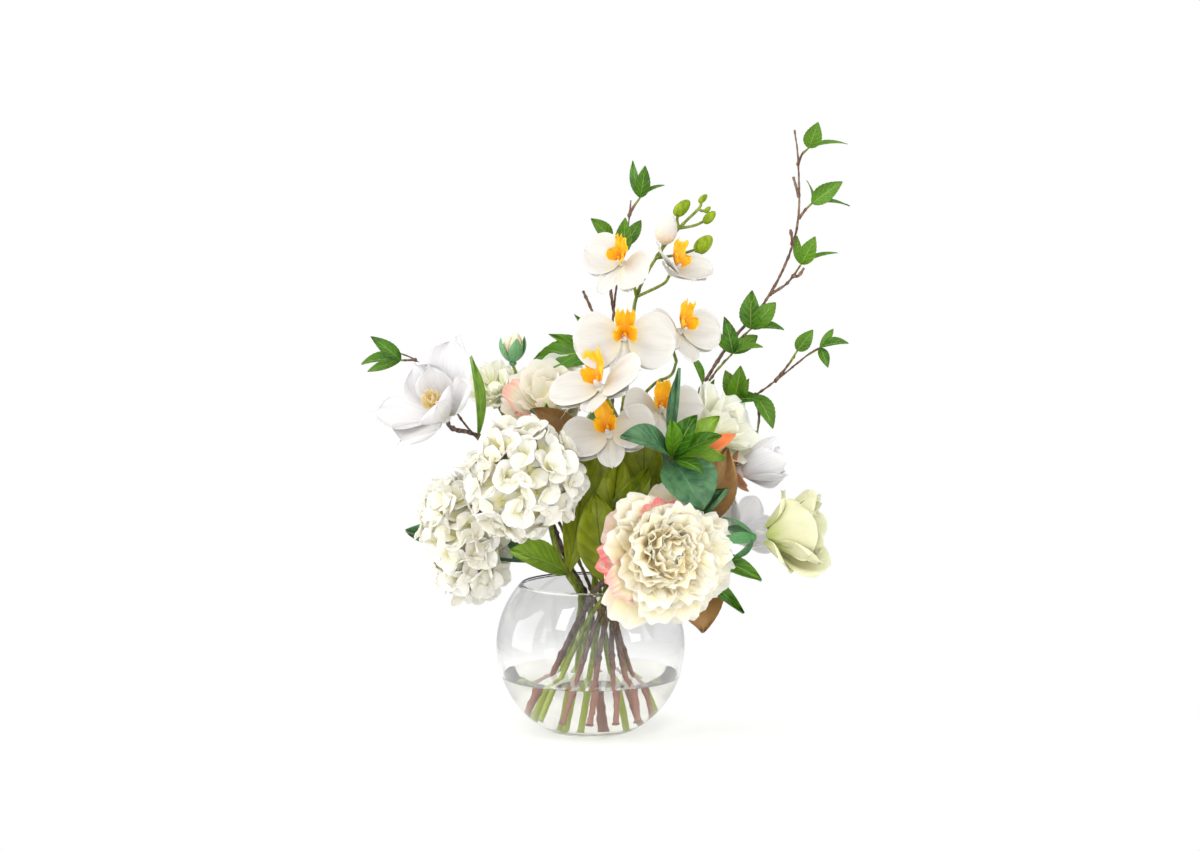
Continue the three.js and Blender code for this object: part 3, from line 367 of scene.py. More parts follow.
# Petals: the root's colour fades into the body's, streaks run lengthwise, the rim is paler and may blush
def petalNodes(tree, look):
    across, along = surfaceCoordinates(tree)
    tint = attribute(tree, "tint")
    streakPlace = {0: across * look["veins"], 1: along * 1.6, 2: tint * 41}  # many across and few along
    grain = noise(add(tree, "CombineXYZ", streakPlace), 1, 3, 0.6)
    rim = abs(across * 2 - 1).calc("MAXIMUM", along)
    wander = grain * 0.35 - 0.17
    blushed = step(rim + wander, look["blushFrom"], 1) * attribute(tree, "blush")
    body, root, shade, pale = rowsOf(look["colours"])
    colour = blend(step(along + wander, look["rootReach"], 0), body, root)
    colour = blend(step(grain, 0.38, 0.72) * look["streak"], colour, shade)
    # the paler rim; on the rose this rim colour is also a painted highlight on the rolled-back edges
    colour = blend(step(rim, 0.82, 1) * 0.5, colour, pale)
    colour = blend(blushed, colour, look["blush"])
    value = tint * look["vary"] + (1 - look["vary"])
    colour = blend(1, colour, add(tree, "CombineColor", {0: value, 1: value, 2: value}), "MULTIPLY")
    fine = noise(objectPlace(tree), 420, 3)
    return addShader(
        tree, Base_Color=colour, Roughness=look["roughness"], Specular_IOR_Level=0.25, Subsurface_Weight=look["glow"],
        Subsurface_Radius=(1, 0.9, 0.7), Subsurface_Scale=look["depth"],
        Normal=bump(fine, 0.0004, look["crinkle"], bump(grain, 0.0012, look["relief"])))


# Leaves: a pale midrib, side veins that slant to the tip, a quilted blade between them and another colour below
def leafNodes(tree, look):
    across, along = surfaceCoordinates(tree)
    edge = abs(across * 2 - 1)
    away = abs(((edge * -0.3 + along) * look["pairs"] + 0.5).calc("FRACT") - 0.5) * 2
    side = step(away, 0.16, 0.02) * step(edge, 1, 0.6)
    midrib = step(edge, look["rib"], 0)
    vein = midrib.calc("MAXIMUM", side * look["sideVein"])
    patchy = noise(objectPlace(tree), 90, 3)
    face, deep, fresh, back, veins = rowsOf(look["colours"])
    face = blend(step(patchy, 0.35, 0.7), face, deep)
    face = blend(attribute(tree, "tint") * 0.7, face, fresh)
    face = blend(vein * 0.75, face, veins)
    under = blend(vein * 0.5, back, veins)
    quilt = step(away, 0, 0.8) * step(edge, 0, 0.3)
    net = add(tree, "TexVoronoi", {"Vector": objectPlace(tree), "Scale": 700})
    return addShader(
        tree, Base_Color=blend(attribute(tree, "back"), face, under), Specular_IOR_Level=0.32,
        Roughness=patchy * 0.25 + (look["roughness"] - 0.12), Subsurface_Weight=0.05, Subsurface_Scale=0.002,
        Normal=bump(net, 0.0003, 0.1, bump(quilt - midrib, 0.0008, 0.45)))


# Stems: lengthwise streaks between two colours, rough knobs, pale specks and another colour under water: the wet
# stem's own tone, made lighter as painted light for the light that glass and water keep from it
def stemNodes(tree, look):
    place = objectPlace(tree)
    coarse = noise(place, 70)
    grain = noise(add(tree, "Mapping", {"Vector": place, "Scale": (1, 1, 0.22)}), look["grain"], 4, 0.65)
    depth = step(coarse * 0.05 + separate(place)[2], 0.12, 0.06)
    dark, light, moss, wetAndPaintedLight = rowsOf(look["colours"])
    colour = blend(step(grain, 0.38, 0.66), dark, light)
    colour = blend(step(coarse, 0.5, 0.75) * 0.5, colour, moss)
    # under water, the wet colour, lightened as painted light where less light reaches through the glass and water
    colour = blend(depth * 0.75, colour, wetAndPaintedLight)
    return addShader(tree, Base_Color=colour, Roughness=look["roughness"], Specular_IOR_Level=look["shine"],
                     Normal=bump(grain, 0.0015, look["relief"]))


# Glass and water let lamp light through, so that what stands in them is lit
def clearNodes(tree, look):
    colour = (*look["face"], 1)
    if "grazing" in look:
        edge = add(tree, "LayerWeight", {"Blend": 0.5}, output=1).calc("POWER", 4)
        colour = blend(edge, look["face"], look["grazing"])
    clear = addShader(tree, Base_Color=colour, Roughness=0, IOR=look["ior"], Transmission_Weight=1)
    passes = add(tree, "BsdfTransparent", {"Color": (0.93, 0.94, 0.93, 1)})
    isShadow = add(tree, "LightPath", output=1)
    return add(tree, "MixShader", {0: isShadow, 1: clear, 2: passes})


finishes = {}


# a finish from each look: what it doesn't say is as in the look it is like, or else as in the common one
def makeFinishes(nodesOf, common, looks):
    for name, look in looks.items():
        finishes[name] = newFinish(name, nodesOf, {**common, **looks.get(look.get("like"), {}), **look})


print("finishes")
makeFinishes(petalNodes, dict(
    blush=(0.93, 0.35, 0.38), blushFrom=0.55, rootReach=0.35, streak=0.5, veins=14, relief=0.35, crinkle=0.2,
    roughness=0.55, glow=0.3, depth=0.003, vary=0.08,
), {
    "hydrangea petal": dict(
        colours=".85 .825 .735, .74 .69 .28, .8 .75 .56, .93 .92 .85", rootReach=0.62, veins=9, vary=0.06,
        streak=0.45, glow=0.5, depth=0.002),
    "peony petal": dict(
        colours=".91 .855 .65, .98 .7 .28, .92 .79 .47, .94 .915 .83", blush=(0.93, 0.17, 0.22), blushFrom=0.72,
        rootReach=1, veins=16, relief=0.4, vary=0.04, glow=0.6, depth=0.0018),
    "pale peony petal": dict(
        like="peony petal", colours=".95 .925 .77, .95 .84 .48, .91 .86 .66, .94 .915 .83", blush=(0.94, 0.33, 0.3),
        blushFrom=0.6, rootReach=0.6),
    "pale green peony petal": dict(
        like="peony petal", colours=".94 .93 .78, .84 .85 .46, .88 .87 .62, .95 .94 .87", blush=(0.95, 0.22, 0.1),
        blushFrom=0.5, rootReach=0.6),
    "magnolia petal": dict(
        colours=".74 .73 .735, .66 .66 .5, .58 .57 .61, .83 .82 .825", rootReach=0.25, veins=16, relief=0.3,
        crinkle=0.08, roughness=0.5),
    # the rose's rim colour, paler and greener than its body, is partly the petals' own edge colour and partly a
    # painted highlight on their rolled-back edges
    "rose petal": dict(
        colours=".72 .705 .47, .46 .53 .15, .64 .63 .34, .8 .84 .5", rootReach=0.7, veins=12, streak=0.4, relief=0.3,
        crinkle=0.08, roughness=0.5),
    "orchid petal": dict(
        colours=".66 .64 .595, .7 .63 .45, .55 .51 .43, .76 .75 .71", rootReach=0.45, veins=11, streak=0.4,
        relief=0.22, crinkle=0.1, roughness=0.5),
    "shut orchid petal": dict(
        like="orchid petal", colours=".66 .64 .595, .86 .66 .46, .55 .51 .43, .76 .75 .71", rootReach=0.8, veins=2.5,
        streak=0.25, relief=0.2),
    "orchid lip": dict(
        colours=".93 .5 .012, .84 .26 .01, .84 .33 .008, .96 .64 .06", rootReach=0.7, veins=7, streak=0.8, relief=0.7,
        crinkle=0.3, roughness=0.45, glow=0.15),
    "coral petal": dict(colours=".9 .24 .07, .93 .42 .05, .8 .15 .05, .95 .42 .2"),
    "stamen": dict(colours=".93 .74 .36, .72 .5 .18, .8 .58 .22, .97 .84 .52", veins=4),
})
makeFinishes(leafNodes, dict(
    colours=".045 .165 .003, .013 .065 .003, .11 .26 .004, .15 .29 .1, .26 .42 .06", pairs=6, rib=0.09, sideVein=0.55,
    roughness=0.42,
), {
    "twig leaf": dict(),
    "olive leaf": dict(
        colours=".17 .22 .005, .075 .12 .004, .32 .37 .012, .2 .26 .05, .05 .07 .006", pairs=7, rib=0.05,
        roughness=0.5),
    "teal leaf": dict(
        colours=".075 .19 .075, .03 .095 .045, .11 .26 .11, .2 .105 .04, .12 .25 .15", pairs=9, rib=0.05,
        sideVein=0.3),
    "brown leaf": dict(
        like="teal leaf", colours=".3 .165 .055, .21 .105 .035, .38 .22 .08, .04 .12 .06, .4 .25 .11", roughness=0.5),
    "lime leaf": dict(colours=".16 .33 .02, .07 .2 .015, .27 .42 .03, .15 .29 .1, .3 .48 .1", pairs=8),
    "sepal": dict(colours=".07 .24 .075, .04 .15 .05, .13 .34 .13, .15 .36 .16, .16 .36 .14", sideVein=0.2),
    "rust sepal": dict(colours=".5 .19 .07, .38 .13 .05, .6 .27 .12, .54 .24 .11, .62 .33 .17", sideVein=0.2),
})
makeFinishes(stemNodes, {}, {
    "woody stem": dict(
        colours=".055 .03 .026, .19 .12 .105, .27 .21 .17, .44 .19 .14", grain=420, relief=0.8, roughness=0.7,
        shine=0.25),
    "green stalk": dict(
        colours=".1 .14 .012, .24 .3 .03, .33 .36 .06, .42 .52 .03", grain=260, relief=0.25, roughness=0.5,
        shine=0.3),
    "twig bark": dict(
        like="woody stem", colours=".085 .045 .028, .24 .145 .09, .27 .21 .17, .44 .19 .14", relief=0.6),
    "flower core": dict(
        like="green stalk", colours=".52 .5 .26, .66 .63 .38, .7 .68 .44, .42 .52 .03", roughness=0.8),
    "orchid bud": dict(
        like="green stalk", colours=".13 .21 .004, .25 .34 .007, .36 .43 .015, .42 .52 .03", shine=0.2),
})
makeFinishes(clearNodes, {}, {
    "clear glass": dict(ior=1.46, face=(0.985, 0.985, 0.985), grazing=(0.62, 0.63, 0.62)),
    "water": dict(ior=1.25, face=(0.99, 0.98, 0.915)),
})

bowl = dict(radius=100, centreHeight=90, rimHeight=158, wall=2.6, footRadius=40, floor=5, sides=128)
water = dict(level=60, overlap=0.5, rise=0.6)


def bowlRadius(height, inset=0):
    return np.sqrt((bowl["radius"] - inset) ** 2 - (np.asarray(height, float) - bowl["centreHeight"]) ** 2)


# a profile of radius and height, turned round +Z
def turnedProfile(*stretches):
    radius, height = np.vstack(stretches).T[:, :, None]
    return ringed(roundRings(np.maximum(radius, 0.02), height, bowl["sides"])[None])


# the outer wall up, a half round over the rim, and the inner wall down to the floor
def makeBowl():
    lip, floor, foot = bowl["wall"] / 2, bowl["floor"], bowl["footRadius"]
    top = bowl["rimHeight"] - 1.5
    up = np.linspace(2, top, 64)
    turn = np.linspace(0, pi, 9)
    rim = np.stack([bowlRadius(top, lip) + lip * np.cos(turn), top + lip * np.sin(turn)], -1)
    inner = up[up > floor + 3][::-1]
    outside = np.stack([bowlRadius(up), up], -1)
    inside = np.stack([bowlRadius(inner, bowl["wall"]), inner], -1)
    reach, low = inside[-1]
    base = [(0, 1.2), (reach * 0.6, 1), (foot - 6, 0.4), (foot - 2, 0), (foot + 0.4, 0.5)]
    bottom = [(reach * 0.85, low - 2.1), (reach * 0.5, floor + 0.2), (0, floor)]
    return turnedProfile(base, outside, rim, inside, bottom)


# the water fills the bowl, climbs its wall a little and is flat on top
def makeWater():
    floor, level = bowl["floor"], water["level"]
    up = np.linspace(floor + 5, level + water["rise"], 26)
    wall = np.stack([bowlRadius(up, bowl["wall"] - water["overlap"]), up], -1)
    reach = wall[0, 0]
    back = np.array([0.4, 1.2, 2.5, 5])
    top = np.stack([wall[-1, 0] - back, level + water["rise"] * np.exp(-back / 1.3)], -1)
    bottom = [(0, floor + 0.4), (reach * 0.6, floor + 0.6), (reach * 0.9, floor + 2.6)]
    return turnedProfile(bottom, wall, top, [(30, level), (0, level)])


makePiece("bowl_glass", "bowl", ["clear glass"], [makeBowl()])
makePiece("bowl_water", "water", ["water"], [makeWater()])
print("bowl and water")

waist = dict(x=8, y=0, height=128, outer=19, inner=8)  # where the stems cross
foot = dict(outer=59, inner=31, outerHeight=21, innerHeight=12, twist=38)  # their cut ends

# each stem's slot in the crossing and its radius at both ends, and then the points it bends through
stems = {
    "hydrangea_front": "175 4.2 3.4, -24 -22 170, -36 -34 200",
    "hydrangea_side": "147 4.2 3.4, -18 14 160, -40 14 182, -66 6 205",
    "magnolia_left": "120 4.2 2.8, -26 30 178, -58 30 250, -112 10 308",
    "twig_left": "92 3 1, -26 46 200, -62 44 256, -124 26 312, -160 26 362, -186 24 392, -217 22 403",
    "peony_left": "62 3.4 2.8, -12 54 190, -46 84 250, -82 102 305",
    "twig_centre": "25 3.2 1, 36 32 210, 26 38 300, 22 36 400, 28 40 473, 38 48 518, 43 53 561",
    "twig_right":
        "-1 4 1.1, 62 30 200, 92 54 285, 112 58 345, 147 56 405, 186 58 451, 212 62 500, 223 64 545, 222 64 605, "
        "218 64 636",
    "peony_right": "333 3.6 3, 60 8 190, 88 24 256",
    "magnolia_right": "307 3.8 2.8, 62 -8 178, 100 0 232",
    "magnolia_low": "280 3.6 2.6, 46 -20 158, 92 -18 180",
    "rose": "252 3.6 2.6, 38 -38 160, 92 -52 190",
    "peony_front": "215 4.2 3.6, 14 -40 164",
    "peony_back": "170 3.4 2.8, 4 22 200, -14 50 262",
    "orchid_high":
        "290 3.2 1.4, 30 -12 220, 32 -6 320, 42 -10 410, 48 -14 460, 68 -15 500, 92 -15 531, 112 -15 551, "
        "115 -15 558",
    "orchid_low": "50 3 1.5, 40 4 220, 46 4 300, 50 -2 345, 66 -8 368, 84 -10 378, 90 -8 392",
}

# where each bloom sits, the way it faces, and its core: half-width, half-length and the height of its middle
blooms = {
    "peony_front": "68 -82 197, .3 -.93 .16, 19 24 16",
    "peony_back": "-38 48 332, -.28 -.72 .62, 13 17 11",
    "peony_right": "121 34 306, .68 -.4 .62, 13 16 10",
    "peony_left": "-102 88 348, -.12 -.72 .68, 11 14 9",
    "rose": "177 -65 216, .96 -.2 .14, 16 24 18",
    "magnolia_left": "-151 -17 333, -.34 -.72 .6, 9 12 9",
    "magnolia_right": "154 4 274, .95 -.06 .28, 8 12 8",
    "magnolia_low": "150 11 206, .62 -.42 .66, 8 12 8",
}
hydrangeas = {
    "hydrangea_front": dict(at=(-67, -86, 277), axis=(-0.35, -0.72, 0.6), stem=(0.5, 0.55, -0.67), across=61,
                            along=58, florets=80, seed=10),
    "hydrangea_side": dict(at=(-134, -5, 206), axis=(-0.96, -0.2, -0.15), stem=(1, 0.1, -0.02), across=67,
                           along=46, florets=84, seed=50),
}
woody = ("magnolia_left", "magnolia_right", "magnolia_low", "twig_left", "twig_centre", "twig_right", "peony_right",
         "peony_front")
innerRing = ("peony_back", "orchid_high", "orchid_low")
slender = 0.8  # how thick the stems are drawn
coreInset = 13  # how far a hydrangea's core lies under its florets


# foot, crossing, bends, and then along the bloom's axis to just under its core; and the radii at both ends
def stemPath(name):
    (slot, start, end), *bends = rowsOf(stems[name])
    ring = "inner" if name in innerRing else "outer"
    slot, cut = radians(slot), radians(slot - foot["twist"])
    points = [
        [foot[ring] * cos(cut), foot[ring] * sin(cut), foot[ring + "Height"]],
        [waist["x"] + waist[ring] * cos(slot), waist["y"] + waist[ring] * sin(slot), waist["height"]],
        *bends,
    ]
    if name in hydrangeas:
        head = hydrangeas[name]
        points.append(np.array(head["at"]) + unit(head["stem"]) * (head["along"] - coreInset - 2))
    elif name in blooms:
        at, axis, core = rowsOf(blooms[name])
        under = core[2] - core[1] - (4 if name in calyx else 0.5)
        points += [at + unit(axis) * d for d in (under - 16, under)]
    return points, start, end


def mainStem(name, material, seed):
    points, start, end = stemPath(name)
    rough, joints = (0.3, 34) if name in woody else (0.1, 0)
    return stem(points, start * slender, end * slender, 14, 2, rough, joints, seed, material)


# Leaves from base to tip with the upper face towards look; the midrib arches by bend
def leaves(table, material=0, seed=0, **shape):
    base, tip, look, (width, bend) = table[:, :3], table[:, 3:6], table[:, 6:9], table[:, 9:].T
    chord = np.linalg.norm(tip - base, axis=1)
    x = unit(tip - base)
    z = unit(look - (look * x).sum(1, keepdims=True) * x)
    k = np.arange(len(table)) + seed
    length = chord * (bend / 2) / np.sin(bend / 2)
    return blades(framesAt(x, z, base), material=material, tint=draw(k + 70), crowd=1, length=length, width=width,
                  rise=bend / 2, curl=-bend, phase=6 * draw(k), **shape)


smallLeaf = dict(rows=30, columns=6, cup=0.3, keel=0.2, claw=0.05, peak=0.78, round=0.92, saw=0.08, ribs=0.3, pairs=6,
                 wave=0.015, thickness=0.4)
broadLeaf = dict(rows=48, columns=10, cup=0.4, keel=0.18, claw=0.06, peak=1.1, round=0.9, saw=0.02, teeth=16,
                 ribs=0.5, wave=0.03, fold=0.6)

# a twig's side shoots | its leaves: for each place the tips, the ways the faces look, the widths and any arch
twigs = {
    "twig_right":
        "222 64 600, 226 62 610, 233 60 617; 224 64 543, 231 62 552, 237 61 558; 193 59 461, 208 60 470, "
        "217 58 480, 226 60 493; 217 58 480, 223 54 481, 228 50 489; 223 64 566, 220 63 576, 217 62 586; "
        "216 62 515, 216 61 521, 214 60 530; 92 54 285, 122 78 330, 156 78 345, 178 68 352, 199 56 368, 233 43 397, "
        "245 42 404; 199 56 368, 214 50 388, 221 44 401; 178 68 352, 182 62 330, 180 58 312; 147 56 405, "
        "162 52 415, 172 51 424; 112 58 345, 136 52 380, 152 46 398; 112 58 345, 116 48 356, 120 44 366 | "
        "233 60 617: 242 50 644 front 20, 276 66 621 up 11; 237 61 558: 269 52 581 front 20, 279 70 555 up 11, "
        "232 73 583 .9 -.4 .2 9; 226 60 493: 240 50 523 front 19, 222 70 524 -.5 -.8 .1 11, 265 56 505 up 10; "
        "172 51 424: 172 40 466 -.3 -.95 0 24, 199 60 452 front 22, 207 44 423 up 19; "
        "152 46 398: 142 36 438 front 17, 128 58 428 -.4 -.9 .2 11, 184 36 405 up 18, 180 66 416 front 17; "
        "120 44 366: 104 30 400 .6 -.7 .3 12; 156 78 345: 146 80 378 front 20, 162 66 384 front 22, "
        "184 52 347 0 -.8 .6 17; 122 78 330: 134 72 369 -.3 -.9 .3 13; 178 68 352: 196 50 316 .3 -.8 .5 22; "
        "180 58 312: 158 48 297 front 16; 166 73 349: 170 50 371 -.3 -.9 .2 12; 221 44 401: 237 36 424 front 17; "
        "245 42 404: 275 34 409 up 20, 261 58 424 front 9, 253 34 383 front 12",
    "twig_centre":
        "41 50 545, 47 52 556, 53 53 564; 25 38 440, 22 33 460, 21 32 474; 22 36 400, 8 32 430, -2 32 452, "
        "-8 34 465; 36 46 506, 28 47 514, 22 49 520 | "
        "53 53 564: 58 44 598 front 17, 45 64 604 -.5 -.8 .1 12, 79 48 577 up 10; 22 49 520: 0 40 542 front 17; "
        "36 46 506: 37 36 543 -.2 -.95 .1 19; 37 47 512: 54 62 540 front 15; 23 36 390: -45 20 420 front 20; "
        "23 36 392: -18 50 440 front 14; 22 36 400: -66 80 384 -.2 -.9 .4 36 .9",
    "twig_left":
        "-186 24 392, -194 22 392, -201 21 392; -160 26 362, -168 25 382, -174 22 395 | "
        "-201 21 392: -232 10 418 front 16, -242 10 388 up 23, -238 34 379 front 11",
}
leafWays = {"front": ".1 -.95 .3", "up": "0 -.45 .9"}  # the ways that most faces look
usualArch = 0.6


def twigLeaves(text):
    for way, numbers in leafWays.items():
        text = text.replace(way, numbers)
    groups = [group.split(":") for group in text.split(";")]
    rows = [[*base.split(), *leaf.split(), usualArch][:11] for base, tips in groups for leaf in tips.split(",")]
    return np.array(rows, float)


def makeTwig(name, seed):
    sides, rows = twigs[name].split("|")
    sides, rows = [rowsOf(side) for side in sides.split(";")], twigLeaves(rows)
    parts = [mainStem(name, 0, seed)]
    for i, points in enumerate(sides):
        leafy = (rows[:, :3] == points[-1]).all(1).any()
        parts.append(stem(points, 1.6, 0.8 if leafy else 1.3, 8, 1.5, 0.35, 11, seed + i))
        if leafy:
            green = [points[-2], (points[-2] + points[-1]) / 2, points[-1]]
            parts.append(stem(green, 1.3, 0.95, 8, 1.5, seed=seed + i, material=1))
    parts.append(leaves(rows, 2, seed, **smallLeaf))
    parts.append(eggs(moved(*np.array([side[0] for side in sides]).T), 2.1, 2.6, sides=8, count=6))
    makePiece(f"{name}_shoots", name, ["twig bark", "green stalk", "twig leaf"], parts)


for i, name in enumerate(twigs):
    makeTwig(name, 100 * i)
print("twigs")

# larger leaves on each stem: kind, base, tip, the way the face looks, width and arch
stemLeaves = {
    "hydrangea_front":
        "olive -24 -22 170 -4 -22 320 .35 -.9 .15 44 .5, lime -24 -22 170 -84 -62 200 0 -.75 .65 40 .6",
    "hydrangea_side": "teal -36 14 176 -202 78 200 .1 -.85 .5 50 .6",
    "peony_front":
        "olive 14 -40 164 4 -68 262 .1 -.95 -.2 50 .7, olive 14 -40 164 30 -38 300 .1 -.95 .2 46 .3, "
        "olive 14 -40 164 62 -56 288 -.3 -.92 .2 42 .5",
    "peony_back":
        "olive 4 22 200 -8 112 296 0 .6 .8 48 .8, twig -14 50 262 10 96 346 .3 .8 .4 40 .6, "
        "brown -16 48 270 -62 -36 345 .5 -.75 .4 46 .8",
    "peony_right":
        "olive 60 8 190 57 -24 342 -.2 -.95 .1 50 .5, teal 60 8 190 84 14 330 .2 -.95 .1 44 .4, "
        "teal 84 -54 294 30 -102 322 .1 -.7 .7 37 1, teal 84 -54 298 91 -66 390 -.6 -.8 0 15 .3, "
        "teal 82 -52 294 114 -96 246 .25 -.85 .4 62 .7, twig 85 -55 296 109 -76 342 -.2 -.9 .4 26 .5, "
        "twig 85 -55 296 82 -76 338 .2 -.9 .3 20 .5, twig 86 -56 295 134 -84 322 0 -.8 .6 23 .5, "
        "twig 86 -57 294 114 -90 284 0 -.6 .8 18 .5, lime 92 -40 298 134 -44 338 0 -.9 .4 24 .4, "
        "coral 112 -42 297 150 -52 320 -.3 -.9 .3 17 .4, lime 92 -40 296 140 -56 294 0 -.8 .6 20 .5",
    "magnolia_left": "lime -120 14 308 -128 30 396 .6 -.7 0 15 .9, lime -58 30 250 -46 -14 350 .1 -.95 .2 32 .5",
    "magnolia_right":
        "brown 112 -14 215 142 -44 306 .1 -.95 .1 48 .4, teal 62 -8 178 142 -70 266 .05 -.7 .7 46 .4, "
        "teal 100 0 232 122 112 292 .2 .5 .85 46 .7",
    "magnolia_low": "brown 92 -20 178 116 -78 117 .3 -.9 .1 62 .6",
    "rose": "twig 116 -56 196 176 -76 171 .1 -.75 .65 22 .5, twig 92 -52 190 158 -76 137 .4 -.85 .2 17 .5",
    "peony_left": "",
}
leafKinds = ["olive leaf", "lime leaf", "teal leaf", "brown leaf", "twig leaf", "sepal", "rust sepal", "coral petal"]

# sepals under a bloom: kind, count, first azimuth, length, width, rise and curl
calyx = {
    "rose": "sepal 5 8 38 13 -34 -34",
    "peony_right": "lime 4 20 32 17 -12 30",
    "magnolia_right": "rust 4 30 30 22 26 24",
}
sepalShape = dict(claw=0.3, peak=0.8, round=0.9, cup=0.5, thickness=0.5, fold=0.4)


def leafNumber(kind):
    return 2 + [finish.split()[0] for finish in leafKinds].index(kind)


def sepals(name, seed):
    kind, *numbers = calyx[name].split()
    count, start, length, width, rise, curl = (int(number) for number in numbers)
    at, axis, core = rowsOf(blooms[name])
    place, material, k, up = facing(at, axis), leafNumber(kind), np.arange(count), core[2] - core[1] - 4.1
    places = petalPlaces(place, start + 360 * k / count, 3, up, rise + 8 * sway(k + 500))
    return [
        eggs(place, 4.8, 3.8, up, 14, 10, material),
        blades(places, 18, 6, material, length=length, width=width, phase=6 * draw(k + seed), curl=radians(curl),
               **sepalShape),
    ]


rosetteStalk = "88 24 256, 88 -14 270, 84 -53 296"
bud = dict(at=(-84, 62, 389), axis=(0, -0.12, 1), stalk="-46 84 250, -56 82 310, -76 66 362, -84 62 385", across=10.5,
           along=15)


def makeStem(name, seed):
    parts = [mainStem(name, int(name in woody), seed)]
    if name == "peony_right":
        parts.append(stem(rowsOf(rosetteStalk), 2.2, 2.4))
    if name == "peony_left":
        place, green = facing(bud["at"], bud["axis"]), leafNumber("sepal")
        k = np.arange(4)
        parts += [
            stem(rowsOf(bud["stalk"]), 2, 1.6),
            eggs(place, 4.2, 3.2, -2.5, 12, 8, green),
            blades(petalPlaces(place, 20 + 90 * k, 4, -0.5, 30), 18, 6, green, length=31, width=18, peak=0.85,
                   round=0.8, curl=radians(82), cup=0.8, tint=draw(k + 9)),
        ]
    rows = [row.split() for row in stemLeaves[name].split(",") if row]
    for i, (kind, *numbers) in enumerate(rows):
        row = np.array([numbers], float)
        teeth = dict(teeth=10, saw=0.03) if row[0, 9] < 30 else {}
        parts.append(leaves(row, leafNumber(kind), seed + i, **{**broadLeaf, **teeth}))
    if name in calyx:
        parts += sepals(name, seed)
    makePiece(f"{name}_stem_leaves", f"{name}_stem", ["green stalk", "woody stem"] + leafKinds, parts)


for i, name in enumerate(stemLeaves):
    makeStem(name, 20 * i)
print("leafy stems")

# place, facing, and then the clock angle of the lip, the size and how far the tepals have opened
orchids = (
    "35 -56 420, .02 -.98 .12, 0 1 1; 34 -44 495, -.42 -.82 .36, -24 .82 .85; 84 -40 486, .55 -.4 .74, -24 .8 .66; "
    "76 -27 518, .22 -.3 .92, 160 .74 .05; 92 -22 424, .5 -.72 .48, -4 .84 .85; 12 -72 368, -.42 -.5 .75, "
    "24 1.02 .86; 20 -48 318, -.2 -.74 .64, 16 .96 .9; 72 -20 342, .2 -.86 .44, 0 .86 .8"
)
orchidCore = dict(across=5, along=6)
# azimuth from the lip, length, width and distance behind the front of each of the five tepals
orchidTepals = "97 50 60 1.5, -97 50 60 2.2, 180 47 32 -1, 128 44 30 -2.5, -128 44 30 -2.5"
shutOrchid = dict(across=18, along=22, up=18, openLessThan=0.2)
tepalShape = dict(claw=0.08, peak=1.15, round=0.5, waves=1.5, ruffles=2.5)
lobeShape = dict(length=20, width=19, curl=24, cup=0.6, claw=0.25, peak=1.4, round=0.6, ruffle=1.4, jag=0.08)
tongueShape = dict(length=31, width=23, curl=30, cup=0.7, claw=0.35, peak=1.1, round=0.6, ruffle=1.8, jag=0.1, jags=4,
                   end=0.82, arch=-0.12, notch=0.08, lobes=3)
# where each bloom's own stalk leaves the main one, and the buds' stalks
bloomStalks = {
    "orchid_high": "42 -10 410, 48 -14 460, 48 -14 460, 68 -15 500",
    "orchid_low": "90 -8 392, 46 4 300, 46 4 300, 46 4 300",
}
budStalks = (
    "68 -15 500, 92 -16 504, 112 -16 510; 92 -15 531, 90 -14 540, 92 -13 546; 92 -15 531, 108 -16 534, 119 -16 539; "
    "112 -15 551, 116 -16 549, 120 -16 550"
)
# place, half-width and half-length of each closed bud
orchidBuds = "114 -16 511 9.5 12, 92 -12 549 8 11, 121 -16 540 6 8.5, 120 -16 549 3 4.5, 115 -15 560 4 6"


def makeOrchid(number, at, axis, lip, size, open):
    place = facing(at, axis)
    k = np.arange(5) + 10 * number
    if open < shutOrchid["openLessThan"]:
        across, along, up = (shutOrchid[key] * size for key in ("across", "along", "up"))
        tepals = eggs(place, across, along, up, 48, 36, 1, tint=0.6, point=0.35)
    else:
        azimuth, length, width, up = rowsOf(orchidTepals).T
        shut = 1 - open
        places = petalPlaces(place, lip + azimuth, 3.5 * size, up, 78 - 70 * open, 10 * shut)
        tepals = blades(
            places, 20, 14, tint=draw(k), length=length * size, width=width * size * (0.6 + 0.4 * open ** 0.5),
            curl=radians(-6 + 20 * shut), cup=0.3 + 0.4 * shut, phase=6 * draw(k + 40), fold=0.8 * open,
            ruffle=0.8 * open, wave=0.03 * open, **tepalShape)
    heart = eggs(place, orchidCore["across"] * size, orchidCore["along"] * size, 0, 14, 10)
    makePiece(f"orchid_bloom_{number}_tepals", f"orchid_bloom_{number}",
              ["orchid petal", "shut orchid petal"], [tepals, heart])
    size = size * (0.35 + 0.65 * min(1, 2 * open))

    def lipBlades(azimuth, rise, rows, columns, phase, shape):
        places = petalPlaces(place, lip + np.array(azimuth), 3 * size, 9, rise)
        scaled = dict(length=shape["length"] * size, width=shape["width"] * size, curl=radians(shape["curl"]))
        return blades(places, rows, columns, phase=6 * draw(phase), thickness=0.7, **{**shape, **scaled})

    makePiece(f"orchid_lip_{number}_lobes", f"orchid_lip_{number}", ["orchid lip", "orchid petal"], [
        lipBlades([74, -74], 50, 14, 10, k[:2] + 60, lobeShape),
        lipBlades([0], 30, 18, 12, k[:1] + 80, tongueShape),
        eggs(place @ moved(2.5 * size, 0, 12), 2.2 * size, 3.2 * size, 0, 12, 8),
        eggs(place @ moved(-1.5 * size, 0, 9) @ turned("y", -14), 3.2 * size, 6.5 * size, 0, 14, 10, 1),
    ])


